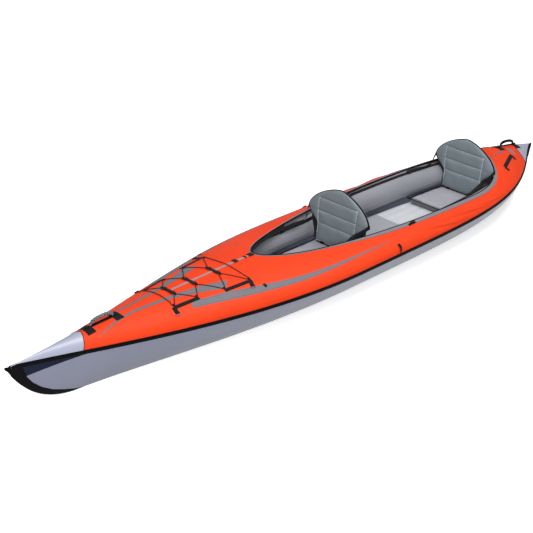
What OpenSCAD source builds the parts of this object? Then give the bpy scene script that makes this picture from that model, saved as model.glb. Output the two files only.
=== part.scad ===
// Inflatable tandem kayak with an open cockpit, two padded seats and laced foredeck.
// Millimetres. +X points to the bow, +Y to port, +Z up. The flat bottom rests at z = 0.

/* [Hull form] */
// Length from the bow edge to the stern edge
length = 4572; // [4000:1:5200]
// Breadth over the skins amidships
beam = 806; // [720:1:900]
// Thickness of the bow and stern edges
tip_t = 16; // [14:1:24]
// Height of the side seam amidships
seam_h = 199; // [180:1:215]
// Height of the shoulders amidships
side_h = 325; // [310:1:345]
// Height of the bow tip
bow_h = 287; // [270:1:310]
// Height of the stern tip
stern_h = 295; // [275:1:315]
// Height of the deck ridge at the front of the cockpit
fore_deck_h = 346; // [335:1:365]
// Height of the deck ridge at the back of the cockpit
aft_deck_h = 385; // [360:1:400]
// Breadth of the flat bottom amidships
bottom_w = 428; // [380:1:470]
// Distance from the bow edge back to the foot of the bow
bow_stem_x = 546; // [486:1:586]
// Distance from the stern edge to the foot of the stern
stern_stem_x = 286; // [226:1:336]
// Thickness of the hull and deck skins
skin_t = 3; // [2:0.5:4]

/* [Deck caps and guards] */
// Distance from the bow edge back to the edge of the bow cap
bow_cap_x = 456; // [386:1:496]
// Distance from the stern edge to the edge of the stern cap
stern_cap_x = 246; // [196:1:286]
// Distance from the bow edge back to the aft end of the bow guard
bow_guard_x = 396; // [326:1:396]
// Distance from the stern edge to the fore end of the stern guard
stern_guard_x = 206; // [166:1:211]
// Height of the guards where they meet the bow and stern edges
guard_h = 85; // [60:1:100]
// Thickness of the guards
guard_t = 2; // [1.5:0.25:2]
// Height of the welt that covers the side seam
welt_h = 24; // [16:1:32]
// Thickness of the seam welt
welt_t = 3; // [2:0.5:5]

/* [Cockpit] */
// Distance from the front seat's hinge to the front of the cockpit
cockpit_front = 723; // [658:1:798]
// Distance from the rear seat's hinge to the back of the cockpit
cockpit_aft = 186; // [156:1:236]
// Breadth of the cockpit opening
cockpit_w = 584; // [540:1:610]
// Diameter of the piping round the opening
piping_d = 11; // [8:0.5:16]
// Width of the zip tape under the piping
zip_w = 28; // [18:1:36]

/* [Air chambers] */
// Diameter of the side tubes
tube_d = 190; // [180:1:192]
// Height of the side tubes' axis amidships
tube_axis_h = 198; // [196:1:200]
// Thickness of the inflated floor
floor_t = 88; // [75:1:92]
// Breadth of the inflated floor's underside
floor_w = 398; // [340:1:404]
// Diameter of the tubes that lift the deck
lift_d = 60; // [45:1:70]
// Diameter of the rods that shape the bow and stern
rib_d = 9; // [6:0.5:12]

/* [Seats] */
// Distance from midships to the front seat's hinge, towards the stern
front_seat_x = 178; // [120:1:240]
// Distance from the front seat's hinge to the rear seat's hinge
seat_pitch = 1286; // [1220:1:1300]
// Thickness of the seat cushions
cushion_t = 48; // [36:1:52]
// Length of the seat cushions
cushion_l = 372; // [320:1:420]
// Breadth of the seat cushions
cushion_w = 392; // [320:1:400]
// Height of the seat backs
back_h = 372; // [330:1:400]
// Breadth of the seat backs over their wings
back_w = 474; // [440:1:480]
// Breadth of the seat backs at the bottom
back_foot_w = 304; // [280:1:308]
// Thickness of the seat backs
back_t = 34; // [26:1:40]
// Lean of the seat backs from upright, in degrees
back_lean = 6; // [3:1:12]
// Diameter of the rods that the seat backs hinge on
hinge_rod_d = 10; // [8:0.5:14]
// Width of the seats' side straps
strap_w = 25; // [20:1:32]

/* [Deck fittings] */
// Diameter of the shock cord
cord_d = 5; // [4:0.5:6]
// Thickness of the flat webbing
webbing_t = 2; // [1.5:0.25:3]
// Inner radius of the loose rings
ring_r = 13; // [10:0.5:16]
// Diameter of the rings' wire
ring_wire_d = 4; // [3:0.5:5]
// Span of the carry handles between their pivots
handle_l = 150; // [130:1:170]
// Rise of the carry handles above their pivots
handle_rise = 32; // [28:1:46]
// Diameter of the carry handles
handle_d = 15; // [12:0.5:18]

/* [Valves] */
// Radius of the valves' mouths
valve_bore_r = 9; // [7:0.25:11]
// Height of the valves above what they are welded to
valve_h = 24; // [20:1:30]
// Travel of the valves' plungers
valve_travel = 5; // [3:0.5:6]

/* [Hidden] */

$fn = 48;
// Clearance between pieces that lie on each other
gap = 0.4;
// Clearance between a pivot and its bore
pivot_gap = 0.15;
// Half the clearance between the hull skin and the deck cover along the seam
seam_gap = 0.6;

half_l = length / 2;
half_b = beam / 2;
// Places along the hull, measured from midships: ends of the skins' pieces, seats and cockpit
bow_stem_at = half_l - bow_stem_x;
stern_stem_at = half_l - stern_stem_x;
bow_cap_at = half_l - bow_cap_x;
stern_cap_at = half_l - stern_cap_x;
bow_guard_at = half_l - bow_guard_x;
stern_guard_at = half_l - stern_guard_x;
rear_seat_x = front_seat_x + seat_pitch;
opening_front = cockpit_front - front_seat_x;
opening_aft = rear_seat_x + cockpit_aft;
// How full and how tapered the plan of each end is
bow_fill = 2;
bow_taper = 1.73;
stern_fill = 5.5;
stern_taper = 1.5;
// How late the sheer rises towards the tips, and how late the stems rise
sheer_power = 3.8;
stem_power = 3.2;
// How square the shoulders are amidships and at the tips, and how round the bilges are
shoulder_power = 2.56;
tip_power = 1.23;
bilge_power = 1.38;
// How late the fore and aft ridges fall to the tips
fore_power = 1.8;
aft_power = 1.58;
// Length over which the raised deck ends fade out along the cockpit's sides
fade_l = 480;
// Share of the half length where the skins end and the solid edges begin
skin_end = 0.985;

// Plan, sheer and keel of the hull at a place x along it

function along(x) = min(abs(x) / half_l, 1);
function pick(x, bow, stern) = x > 0 ? bow : stern;
function tip_h(x) = pick(x, bow_h, stern_h);
function half_breadth(x) = tip_t / 2 + (half_b - tip_t / 2)
    * pow(1 - pow(along(x), pick(x, bow_fill, stern_fill)), pick(x, bow_taper, stern_taper));
function sheer(x, mid) = mid + (tip_h(x) - mid) * pow(along(x), sheer_power);
function seam_z(x) = sheer(x, seam_h);
function shoulder_z(x) = sheer(x, side_h);
function stem_x(x) = pick(x, bow_stem_at, stern_stem_at);
function keel_z(x) = tip_h(x) * pow(max(0, abs(x) - stem_x(x)) / (half_l - stem_x(x)), stem_power);
function flat_y(x) = bottom_w / 2 * half_breadth(x) / half_b * (1 - pow(along(x), 4));

// Rise of the deck's ridge above its shoulders

function ridge(x, start, high, power) = tip_h(x) + (high - tip_h(x))
    * (1 - pow((abs(x) - start) / (half_l - start), power));
function fade(run) = pow(max(0, 1 - run / fade_l), 2);
function fore_camber(x) = x >= opening_front
    ? ridge(x, opening_front, fore_deck_h, fore_power) - shoulder_z(x)
    : (fore_deck_h - shoulder_z(opening_front)) * fade(opening_front - x);
function aft_camber(x) = x <= -opening_aft
    ? ridge(x, opening_aft, aft_deck_h, aft_power) - shoulder_z(x)
    : (aft_deck_h - shoulder_z(-opening_aft)) * fade(x + opening_aft);
function camber(x) = max(0, x > (opening_front - opening_aft) / 2 ? fore_camber(x) : aft_camber(x));
function deck_power(x) = shoulder_power + (tip_power - shoulder_power) * pow(along(x), 3);

// Deck surface: height at a place, outward direction, and a point lifted off it

function deck_z(x, y) = let (r = min(abs(y) / half_breadth(x), 1), e = deck_power(x))
    seam_z(x) + (shoulder_z(x) - seam_z(x)) * pow(1 - pow(r, e), 1 / e) + camber(x) * (1 - pow(r, 1.5));
function unit(v) = v / norm(v);
function deck_up(x, y, d = 1) = unit([
    deck_z(x - d, y) - deck_z(x + d, y),
    deck_z(x, y - d) - deck_z(x, y + d),
    2 * d]);
function on_deck(x, y, lift = 0) = [x, y, deck_z(x, y)] + lift * deck_up(x, y);

// Places on the fore and aft decks, as shares of their length and of the hull's half breadth there

function fore_x(u) = opening_front + (half_l - opening_front) * u;
function aft_x(u) = -opening_aft - (half_l - opening_aft) * u;
function spot(x, share) = [x, share * half_breadth(x)];
function fore_spot(q) = spot(fore_x(q[0]), q[1]);
function aft_spot(q) = spot(aft_x(q[0]), q[1]);

// Cockpit opening: half breadth at a place, pointed towards both ends

// Distance from the back of the opening to its widest place
rim_back = 700;
cockpit_mid = rim_back - opening_aft;
fore_rim_fill = 2;
aft_rim_fill = 4.4;
rim_taper = 0.55;
function rim_y(x) = let (
    u = x > cockpit_mid ? (x - cockpit_mid) / (opening_front - cockpit_mid)
        : (cockpit_mid - x) / (opening_aft + cockpit_mid))
    cockpit_w / 2 * pow(max(0, 1 - pow(u, x > cockpit_mid ? fore_rim_fill : aft_rim_fill)), rim_taper);

// Section points: v runs from the seam to the inner edge of the deck, or from the keel to the seam

function deck_point(x, v, edge_y, inset = 0) = let (
    b = half_breadth(x),
    e = deck_power(x),
    turn = v * acos(pow(min(edge_y / b, 1), e / 2)),
    y = b * pow(cos(turn), 2 / e),
    rise = (shoulder_z(x) - seam_z(x)) * pow(sin(turn), 2 / e) + camber(x) * (1 - pow(y / b, 1.5)),
    top = shoulder_z(x) - seam_z(x) + camber(x))
    [x, y * (1 - inset / b), seam_z(x) + max(seam_gap * (1 + v), rise * (1 - inset / top))];

// Share of the hull section, from keel to seam, that is the flat bottom
flat_v = 0.2;
function hull_point(x, v, inset = 0) = let (
    b = half_breadth(x),
    f = flat_y(x),
    depth = seam_z(x) - keel_z(x),
    turn = 90 * max(0, v - flat_v) / (1 - flat_v),
    y = v < flat_v ? f * v / flat_v : f + (b - f) * pow(sin(turn), 2 / bilge_power),
    drop = v < flat_v ? depth : depth * pow(cos(turn), 2 / bilge_power))
    [x, y * (1 - inset / b), seam_z(x) - max(seam_gap, drop * (1 - inset / depth))];

function mirror_y(p) = [p[0], -p[1], p[2]];

// Stations along the hull

function steps(a, b, n) = [for (i = [0:n]) a + (b - a) * i / n];
bow_end = half_l * skin_end;
stern_end = -bow_end;
cockpit_c = (opening_front - opening_aft) / 2;
cockpit_r = (opening_front + opening_aft) / 2;
cockpit_steps = 26;
cockpit_x = [for (i = [0:cockpit_steps]) cockpit_c - cockpit_r * cos(180 * i / cockpit_steps)];
aft_deck_x = steps(-stern_cap_at, -opening_aft, 5);
fore_deck_x = steps(opening_front, bow_cap_at, 13);
function after(l) = [for (i = [1:len(l) - 1]) l[i]];
hull_x = concat(steps(stern_end, -stern_guard_at, 5), aft_deck_x,
    after(steps(-opening_aft, opening_front, 17)), after(fore_deck_x), steps(bow_guard_at, bow_end, 7));

// Solids from rows of points

function quad(a, b, c, d) = [[a, b, c], [a, c, d]];
function flat_list(l) = [for (a = l) each a];

// A sheet with an outer and an inner face: both are lists of rows of points
module sheet(outer, inner) {
    n = len(outer);
    m = len(outer[0]);
    k = n * m;
    function o(i, j) = i * m + j;
    polyhedron(
        points = concat(flat_list(outer), flat_list(inner)),
        faces = concat(
            flat_list([for (i = [0:n - 2], j = [0:m - 2])
                concat(quad(o(i, j), o(i, j + 1), o(i + 1, j + 1), o(i + 1, j)),
                    quad(k + o(i, j), k + o(i + 1, j), k + o(i + 1, j + 1), k + o(i, j + 1)))]),
            flat_list([for (i = [0:n - 2])
                concat(quad(o(i, 0), o(i + 1, 0), k + o(i + 1, 0), k + o(i, 0)),
                    quad(o(i, m - 1), k + o(i, m - 1), k + o(i + 1, m - 1), o(i + 1, m - 1)))]),
            flat_list([for (j = [0:m - 2])
                concat(quad(o(0, j), k + o(0, j), k + o(0, j + 1), o(0, j + 1)),
                    quad(o(n - 1, j), o(n - 1, j + 1), k + o(n - 1, j + 1), k + o(n - 1, j)))])));
}

// A solid swept through closed rings of points, with flat ends or joined end to end
module loft(rings, closed = false) {
    n = len(rings);
    m = len(rings[0]);
    last = closed ? n - 1 : n - 2;
    polyhedron(
        points = flat_list(rings),
        faces = concat(
            flat_list([for (i = [0:last], j = [0:m - 1])
                let (a = i * m, b = (i + 1) % n * m, e = (j + 1) % m)
                quad(a + j, a + e, b + e, b + j)]),
            closed ? [] : [[for (j = [m - 1:-1:0]) j], [for (j = [0:m - 1]) (n - 1) * m + j]]));
}

// Rings of a round tube along a path
function path_dir(p, i, closed) = let (n = len(p))
    unit(p[closed ? (i + 1) % n : min(i + 1, n - 1)] - p[closed ? (i + n - 1) % n : max(i - 1, 0)]);
function tube_rings(p, r, sides = 8, closed = false) = [for (i = [0:len(p) - 1]) let (
    d = path_dir(p, i, closed),
    s = unit(cross(abs(d[2]) > 0.9 ? [1, 0, 0] : [0, 0, 1], d)),
    u = cross(d, s))
    [for (j = [0:sides - 1]) let (a = 360 * (j + 0.5) / sides) p[i] + r * (cos(a) * s - sin(a) * u)]];

// A flat strip along places on the deck, lifted off it by a clearance
module deck_strip(places, width, thick, lift = gap, across = 2) {
    n = len(places);
    function dir(i) = let (d = places[min(i + 1, n - 1)] - places[max(i - 1, 0)]) d / norm(d);
    function row(h) = [for (i = [0:n - 1]) [for (j = [0:across]) let (
        s = width * (j / across - 0.5),
        q = places[i] + s * [-dir(i)[1], dir(i)[0]])
        on_deck(q[0], q[1], h)]];
    sheet(row(lift + thick), row(lift));
}
function places_between(a, b, n) = [for (i = [0:n]) a + (b - a) * i / n];

// Side tubes: radius, axis and a point at an angle round the tube, where 0 is outboard and 90 is up

tube_share = 0.34;
tube_side_gap = 16;
tube_sides = 18;
tube_steps = 24;
// Distances from the bow and stern edges to the ends of the tubes
tube_fore_end = 546;
tube_aft_end = 266;
tube_fore_x = half_l - tube_fore_end;
tube_aft_x = half_l - tube_aft_end;
function tube_r(x) = pow(pow(tube_d / 2, -4) + pow(tube_share * half_breadth(x), -4), -0.25);
function tube_y(x) = half_breadth(x) - skin_t - tube_side_gap - tube_r(x);
tube_sheer = 0.2;
function tube_z(x) = tube_axis_h + tube_sheer * (seam_z(x) - seam_h);
function tube_point(x, angle, lift = 0) = [x,
    tube_y(x) + (tube_r(x) + lift) * cos(angle),
    tube_z(x) + (tube_r(x) + lift) * sin(angle)];
function tube_inner_y(x, z) = tube_y(x) - sqrt(max(0, pow(tube_r(x), 2) - pow(z - tube_z(x), 2)));

// Skins

hull_v = concat([0], steps(flat_v, 1, 6));
function both_sides(port) = concat([for (i = [len(port) - 1:-1:1]) port[i]], [for (p = port) mirror_y(p)]);
function hull_row(x, inset) = both_sides([for (v = hull_v) hull_point(x, v, inset)]);

module hull_skin() color("slategray")
    sheet([for (x = hull_x) hull_row(x, 0)], [for (x = hull_x) hull_row(x, skin_t)]);

deck_steps = 8;
deck_x = concat(aft_deck_x, after(cockpit_x), after(fore_deck_x));
first_open = len(aft_deck_x) - 1;
last_open = first_open + cockpit_steps;
function deck_half(side, inset) = [for (i = [0:len(deck_x) - 1], j = [0:deck_steps]) let (
    open = i > first_open && i < last_open,
    p = deck_point(deck_x[i], j / deck_steps, open ? rim_y(deck_x[i]) : 0, inset))
    side > 0 ? p : mirror_y(p)];
function turned(f, flip) = flip ? [for (t = f) [t[0], t[2], t[1]]] : f;

// The cover is one sheet with the cockpit cut out: its halves share the points on the centre line
module deck_cover() {
    n = len(deck_x);
    m = deck_steps + 1;
    function o(half, i, j) = let (shared = j == deck_steps && (i <= first_open || i >= last_open))
        ((shared ? 0 : half) * n + i) * m + j;
    k = 2 * n * m;
    color("orangered") polyhedron(
        points = concat(deck_half(1, 0), deck_half(-1, 0), deck_half(1, skin_t), deck_half(-1, skin_t)),
        faces = flat_list([for (h = [0, 1]) turned(concat(
            flat_list([for (i = [0:n - 2], j = [0:m - 2])
                concat(quad(o(h, i, j), o(h, i, j + 1), o(h, i + 1, j + 1), o(h, i + 1, j)),
                    quad(k + o(h, i, j), k + o(h, i + 1, j), k + o(h, i + 1, j + 1), k + o(h, i, j + 1)))]),
            flat_list([for (i = [0:n - 2])
                quad(o(h, i, 0), o(h, i + 1, 0), k + o(h, i + 1, 0), k + o(h, i, 0))]),
            flat_list([for (i = [first_open:last_open - 1], j = [deck_steps])
                quad(o(h, i, j), k + o(h, i, j), k + o(h, i + 1, j), o(h, i + 1, j))]),
            flat_list([for (j = [0:m - 2]) concat(
                quad(o(h, 0, j), k + o(h, 0, j), k + o(h, 0, j + 1), o(h, 0, j + 1)),
                quad(o(h, n - 1, j), o(h, n - 1, j + 1), k + o(h, n - 1, j + 1), k + o(h, n - 1, j)))])),
            h == 0)]));
}

// Closed deck over an end of the hull
cap_v = steps(1, 0, 6);
function cap_row(x, inset) =
    [for (p = both_sides([for (v = cap_v) deck_point(x, v, 0, inset)])) mirror_y(p)];
module deck_cap(xs) color("lightsteelblue")
    sheet([for (x = xs) cap_row(x, 0)], [for (x = xs) cap_row(x, skin_t)]);

module bow_deck_cap() deck_cap(concat([bow_cap_at + 2 * gap], [for (x = hull_x) if (x > bow_cap_at) x]));
module stern_deck_cap()
    deck_cap(concat([for (x = hull_x) if (x < -stern_cap_at) x], [-stern_cap_at - 2 * gap]));

// Guards: channels that wrap the stems, rising towards the edges
guard_gap = 2.2;
guard_full = 96;
guard_full_x = half_l - guard_full;
guard_lead = 40;
guard_below_welt = 8;
function guard_top(x, start) = min(
    keel_z(x) + guard_h * (abs(x) - start + guard_lead) / (guard_full_x - start + guard_lead),
    seam_z(x) - welt_h / 2 - guard_below_welt);
function hull_v_at(x, z) = let (depth = seam_z(x) - keel_z(x))
    flat_v + (1 - flat_v) / 90 * acos(pow(min(1, (seam_z(x) - z) / depth), bilge_power / 2));
function guard_row(x, start, off) = both_sides(
    [for (v = concat([0], steps(flat_v, hull_v_at(x, guard_top(x, start)), 4))) hull_point(x, v, -off)]);
module stem_guard(xs, start) color([0.1, 0.1, 0.1])
    sheet([for (x = xs) guard_row(x, start, guard_gap + guard_t)],
        [for (x = xs) guard_row(x, start, guard_gap)]);

module bow_guard() stem_guard([for (x = hull_x) if (x >= bow_guard_at) x], bow_guard_at);
module stern_guard() stem_guard([for (x = hull_x) if (x <= -stern_guard_at) x], stern_guard_at);

// Solid edges that close the ends of the skins
edge_least = 3;
edge_taper = 0.6;
function edge_ring(x) = let (
    b = half_breadth(x),
    mid = seam_z(x),
    top = max(deck_z(x, 0), mid + edge_least),
    low = min(keel_z(x), mid - edge_least))
    [[x, 0, top], [x, b, mid], [x, b * edge_taper, (mid + low) / 2], [x, 0, low],
        [x, -b * edge_taper, (mid + low) / 2], [x, -b, mid]];
module bow_edge() color([0.1, 0.1, 0.1])
    loft([for (x = steps(bow_end + gap, half_l, 4)) edge_ring(x)]);
module stern_edge() color([0.1, 0.1, 0.1])
    loft([for (x = steps(-half_l, stern_end - gap, 4)) edge_ring(x)]);

// Seam welts: they lie on the hull below the seam and on the deck above it
welt_gap = 2;
welt_most = 0.8;
function welt_low_y(x, h) = let (depth = seam_z(x) - keel_z(x), f = flat_y(x))
    f + (half_breadth(x) - f) * pow(sin(acos(pow(h / depth, bilge_power / 2))), 2 / bilge_power);
// Halves the range of v until the deck lies h above the seam there
function welt_high_y(x, h, low = 0, high = 1, left = 16) = let (
    v = (low + high) / 2,
    q = deck_point(x, v, 0))
    left == 0 ? q[1]
    : q[2] - seam_z(x) > h ? welt_high_y(x, h, low, v, left - 1)
    : welt_high_y(x, h, v, high, left - 1);
function welt_row(x, off) = let (
    low = min(welt_h / 2, welt_most * (seam_z(x) - keel_z(x))),
    high = min(welt_h / 2, welt_most * (deck_z(x, 0) - seam_z(x))))
    [[x, welt_high_y(x, high) + off, seam_z(x) + high],
        [x, half_breadth(x) + off, seam_z(x)],
        [x, welt_low_y(x, low) + off, seam_z(x) - low]];
module port_seam_welt() color([0.12, 0.12, 0.12])
    sheet([for (x = hull_x) welt_row(x, welt_gap + welt_t)], [for (x = hull_x) welt_row(x, welt_gap)]);
module starboard_seam_welt() mirror([0, 1, 0]) port_seam_welt();

// Cockpit edge: places round the opening, anticlockwise from the stern, and the way in from each
rim_side = [for (x = cockpit_x) [x, rim_y(x)]];
rim_places = concat([for (i = [cockpit_steps:-1:0]) rim_side[i]],
    [for (i = [1:cockpit_steps - 1]) [rim_side[i][0], -rim_side[i][1]]]);
function rim_in(i) = let (
    n = len(rim_places),
    d = rim_places[(i + 1) % n] - rim_places[(i + n - 1) % n])
    [-d[1], d[0]] / norm(d);
function rim_mid_z(i) = let (x = rim_places[i][0])
    (deck_point(x, 1, rim_y(x), 0)[2] + deck_point(x, 1, rim_y(x), skin_t)[2]) / 2;
function rim_point(i, inward, drop) = let (q = rim_places[i] + inward * rim_in(i))
    [q[0], q[1], rim_mid_z(i) - drop];

piping_lift = piping_d / 2 + 1.6;
module cockpit_piping() color("silver")
    loft(tube_rings([for (i = [0:len(rim_places) - 1]) rim_point(i, piping_d / 2 + gap, -piping_lift)],
        piping_d / 2, 6, true), true);

// The zip tape hangs inside the front of the opening
zip_l = 485;
zip_from_x = opening_front - zip_l;
zip_t = 1.6;
zip_at = [for (i = [len(rim_places) - 1:-1:cockpit_steps + 1]) if (rim_places[i][0] > zip_from_x) i];
zip_path = concat([for (i = [cockpit_steps:-1:1]) if (rim_places[i][0] > zip_from_x) i], [0], zip_at);
module cockpit_zip_tape() color([0.1, 0.1, 0.1]) {
    top = piping_d / 2 + gap - piping_lift;
    in = piping_d / 2;
    sheet([for (i = zip_path) [rim_point(i, in + zip_t, top + zip_w), rim_point(i, in + zip_t, top)]],
        [for (i = zip_path) [rim_point(i, in, top + zip_w), rim_point(i, in, top)]]);
}

// Air chambers and the rods that shape the ends

tube_x = steps(tube_fore_x, -tube_aft_x, tube_steps);
function ring_round(x) = [for (j = [0:tube_sides - 1]) tube_point(x, 360 * j / tube_sides)];
module port_main_tube() color("gray")
    loft([for (x = tube_x) ring_round(x)]);
module starboard_main_tube() mirror([0, 1, 0]) port_main_tube();

// Distances from the bow and stern edges to the ends of the floor
floor_fore_end = 1046;
floor_aft_end = 406;
floor_fore_x = half_l - floor_fore_end;
floor_aft_x = half_l - floor_aft_end;
floor_flare = 1.25;
floor_low = skin_t + gap;
floor_top = floor_low + floor_t;
function floor_half(x) = floor_w / bottom_w * flat_y(x);
// Section of an air floor: flat below, sides drawn in at mid height, edges rounded
function floor_side(x) = let (w = floor_half(x), r = floor_t / 5, wt = w * floor_flare)
    [[x, w - r, floor_low], [x, w, floor_low + r], [x, wt - r, floor_low + floor_t / 2],
        [x, wt, floor_top - r], [x, wt - r, floor_top]];
function closed_section(side) = concat(side, [for (i = [len(side) - 1:-1:0]) mirror_y(side[i])]);
module floor_panel() color("whitesmoke")
    loft([for (x = steps(floor_fore_x, -floor_aft_x, 16)) closed_section(floor_side(x))]);

module lift_tube(x, share, sink) color("gray")
    loft(tube_rings([for (i = [0:12]) let (y = spot(x, share)[1] * (i / 6 - 1))
        [x, y, deck_z(x, y) - skin_t - sink - lift_d / 2]], lift_d / 2, 10));
// Distances of the lifts from the ends of the cockpit, and their spans as shares of the breadth there
front_lift_off = 65;
front_lift_share = 0.39368;
front_lift_sink = 1.5;
rear_lift_off = 70;
rear_lift_share = 0.38489;
rear_lift_sink = 3;
module front_deck_lift() lift_tube(opening_front + front_lift_off, front_lift_share, front_lift_sink);
module rear_deck_lift() lift_tube(-opening_aft - rear_lift_off, rear_lift_share, rear_lift_sink);

// Ends of the rods, from the bow and stern edges
bow_rib_in = [786, 246];
stern_rib_in = [386, 156];
rib_rise = 18;
function rib_path(ends) = [for (x = steps(ends[0], ends[1], 8)) let (u = (x - ends[0]) / (ends[1] - ends[0]))
    [x, 0, keel_z(x) + skin_t + gap + rib_d / 2 + rib_rise * u * u]];
module bow_rib() color("lightgray")
    loft(tube_rings(rib_path([for (e = bow_rib_in) half_l - e]), rib_d / 2, 8));
module stern_rib() color("lightgray")
    loft(tube_rings(rib_path([for (e = stern_rib_in) e - half_l]), rib_d / 2, 8));

function smooth(u) = let (c = max(0, min(1, u))) c * c * (3 - 2 * c);
// Webbing along the top of each side tube, turned inboard where the cover narrows towards the bow
webbing_aft_angle = 106;
webbing_turn = 32;
webbing_turn_off = 522;
webbing_turn_x = -front_seat_x - webbing_turn_off;
webbing_turn_l = 600;
function webbing_angle(x) = webbing_aft_angle + webbing_turn * smooth((x - webbing_turn_x) / webbing_turn_l);
tube_webbing_in = [125, 150];
tube_webbing_ends = [opening_front - tube_webbing_in[0], tube_webbing_in[1] - opening_aft];
tube_webbing_w = 20;
webbing_lift = 0.7;
tube_webbing_x = [for (x = tube_x) if (x < tube_webbing_ends[0] && x > tube_webbing_ends[1]) x];
function tube_webbing_row(x, lift) = let (turn = tube_webbing_w / 2 / tube_r(x) * 180 / PI)
    [for (a = [-1, 0, 1]) tube_point(x, webbing_angle(x) + a * turn, lift)];
module port_tube_webbing() color([0.12, 0.12, 0.12])
    sheet([for (x = tube_webbing_x) tube_webbing_row(x, webbing_lift + webbing_t)],
        [for (x = tube_webbing_x) tube_webbing_row(x, webbing_lift)]);
module starboard_tube_webbing() mirror([0, 1, 0]) port_tube_webbing();

// Seats

loop_t = 3;
cushion_low = floor_top + gap;
cushion_behind = 68;
cushion_side_gap = 6;
hinge_z = cushion_low + cushion_t + gap + hinge_rod_d / 2 + pivot_gap + loop_t;
// A cushion's plan follows the tubes; its sides are drawn in at mid height and its edges rounded
function cushion_half(x) = min(cushion_w / 2, tube_inner_y(x, cushion_low + cushion_t) - cushion_side_gap);
cushion_edge = 8;
cushion_draw = 3;
function cushion_side(x, w, t) = [
    [x, w - cushion_edge, cushion_low],
    [x, w, cushion_low + cushion_edge],
    [x, w - cushion_draw, cushion_low + t / 2],
    [x, w, cushion_low + t - cushion_edge],
    [x, w - cushion_edge, cushion_low + t - 1],
    [x, w * 0.75, cushion_low + t]];
// Places along a cushion and how far its section is drawn in there
cushion_ends = [[0, 9], [0.02, 3], [0.06, 0], [0.3, 0], [0.5, 0], [0.7, 0], [0.94, 0], [0.98, 3], [1, 9]];
module cushion(fore, aft, t) color("gray")
    loft([for (u = cushion_ends) let (x = fore + (aft - fore) * u[0])
        closed_section(cushion_side(x, cushion_half(x) - u[1], t - u[1] / 2))]);
module seat_cushion(hinge) cushion(cushion_l - cushion_behind - hinge, -cushion_behind - hinge, cushion_t);
module front_seat_cushion() seat_cushion(front_seat_x);
module rear_seat_cushion() seat_cushion(rear_seat_x);

floor_pad_t = 36;
floor_pad_l = 565;
pad_gap = 4;
module floor_pad() {
    fore = -front_seat_x - cushion_behind - pad_gap;
    cushion(fore, fore - floor_pad_l, floor_pad_t);
}

loop_y = 100;
loop_w = 26;
module seat_loops(hinge) color([0.12, 0.12, 0.12]) for (s = [1, -1])
    translate([-hinge, s * loop_y + loop_w / 2, hinge_z]) rotate([90, 0, 0]) difference() {
        cylinder(r = hinge_rod_d / 2 + pivot_gap + loop_t, h = loop_w);
        translate([0, 0, -1]) cylinder(r = hinge_rod_d / 2 + pivot_gap, h = loop_w + 2);
    }
module front_seat_loops() seat_loops(front_seat_x);
module rear_seat_loops() seat_loops(rear_seat_x);

// Breadth of a seat back at the bottom, which stays clear of the side tubes
back_edge_t = 12;
foot_gap = 4;
function foot_w(hinge) = min(back_foot_w, 2 * (tube_inner_y(-hinge - back_edge_t, tube_axis_h) - foot_gap));

rod_inset = 8;
module hinge_rod(hinge) color([0.2, 0.2, 0.2])
    translate([-hinge, foot_w(hinge) / 2 - rod_inset, hinge_z]) rotate([90, 0, 0])
        cylinder(d = hinge_rod_d, h = foot_w(hinge) - 2 * rod_inset);
module front_hinge_rod() hinge_rod(front_seat_x);
module rear_hinge_rod() hinge_rod(rear_seat_x);

// Outline of a seat back: narrow foot, wings, arched top. h is measured from the hinge
back_low = hinge_rod_d / 2 + pivot_gap + loop_t + 1.2;
wing_from = 112;
wing_h = 215;
arch_fill = 1.7;
arch_taper = 0.7;
function back_half(h, foot) = h < wing_h
    ? foot / 2 + (back_w - foot) / 2 * smooth((h - wing_from) / (wing_h - wing_from))
    : back_w / 2 * pow(max(0, 1 - pow((h - wing_h) / (back_h - wing_h), arch_fill)), arch_taper);
// Channels sewn across a seat back, and its thickness at a place
back_channels = [0.34, 0.55, 0.77];
channel_w = 7;
channel_depth = 7;
function channel(h) = channel_depth
    * max([for (c = back_channels) exp(-pow((h - c * back_h) / channel_w, 2))]);
function back_thick(u, h) = let (
    v = (h - back_low) / (back_h - back_low),
    edge = max(abs(u), abs(2 * v - 1)))
    back_edge_t + (back_t - back_edge_t) * (1 - pow(edge, 5)) - channel(h) * (1 - pow(edge, 4));
// Heights of the rows of points up a seat back: close together at the channels and under the top
back_rows = flat_list([
    steps(back_low, 0.3 * back_h, 5),
    [for (c = back_channels, d = [-1.6, -0.8, 0, 0.8, 1.6]) c * back_h + d * channel_w],
    [for (v = [0.42, 0.48, 0.63, 0.69, 0.82, 0.86, 0.905, 0.945, 0.972, 0.99, 0.998]) v * back_h]]);
function sorted(l) = len(l) < 2 ? l : let (
    p = l[floor(len(l) / 2)],
    low = [for (v = l) if (v < p) v],
    high = [for (v = l) if (v > p) v])
    concat(sorted(low), [p], sorted(high));
back_across = steps(1, -1, 10);
// Points of a seat back standing upright at its hinge: x is forward
function back_front(h, foot) = [for (u = back_across)
    [back_thick(u, h) - back_edge_t, u * back_half(h, foot), h]];
function back_rear(h, foot) = [for (u = back_across) [-back_edge_t, u * back_half(h, foot), h]];
module at_hinge(hinge) translate([-hinge, 0, hinge_z]) rotate([0, -back_lean, 0]) children();
module seat_back(hinge) color("cadetblue") at_hinge(hinge) {
    hs = sorted(back_rows);
    foot = foot_w(hinge);
    sheet([for (h = hs) back_front(h, foot)], [for (h = hs) back_rear(h, foot)]);
}
module front_seat_back() seat_back(front_seat_x);
module rear_seat_back() seat_back(rear_seat_x);

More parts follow.
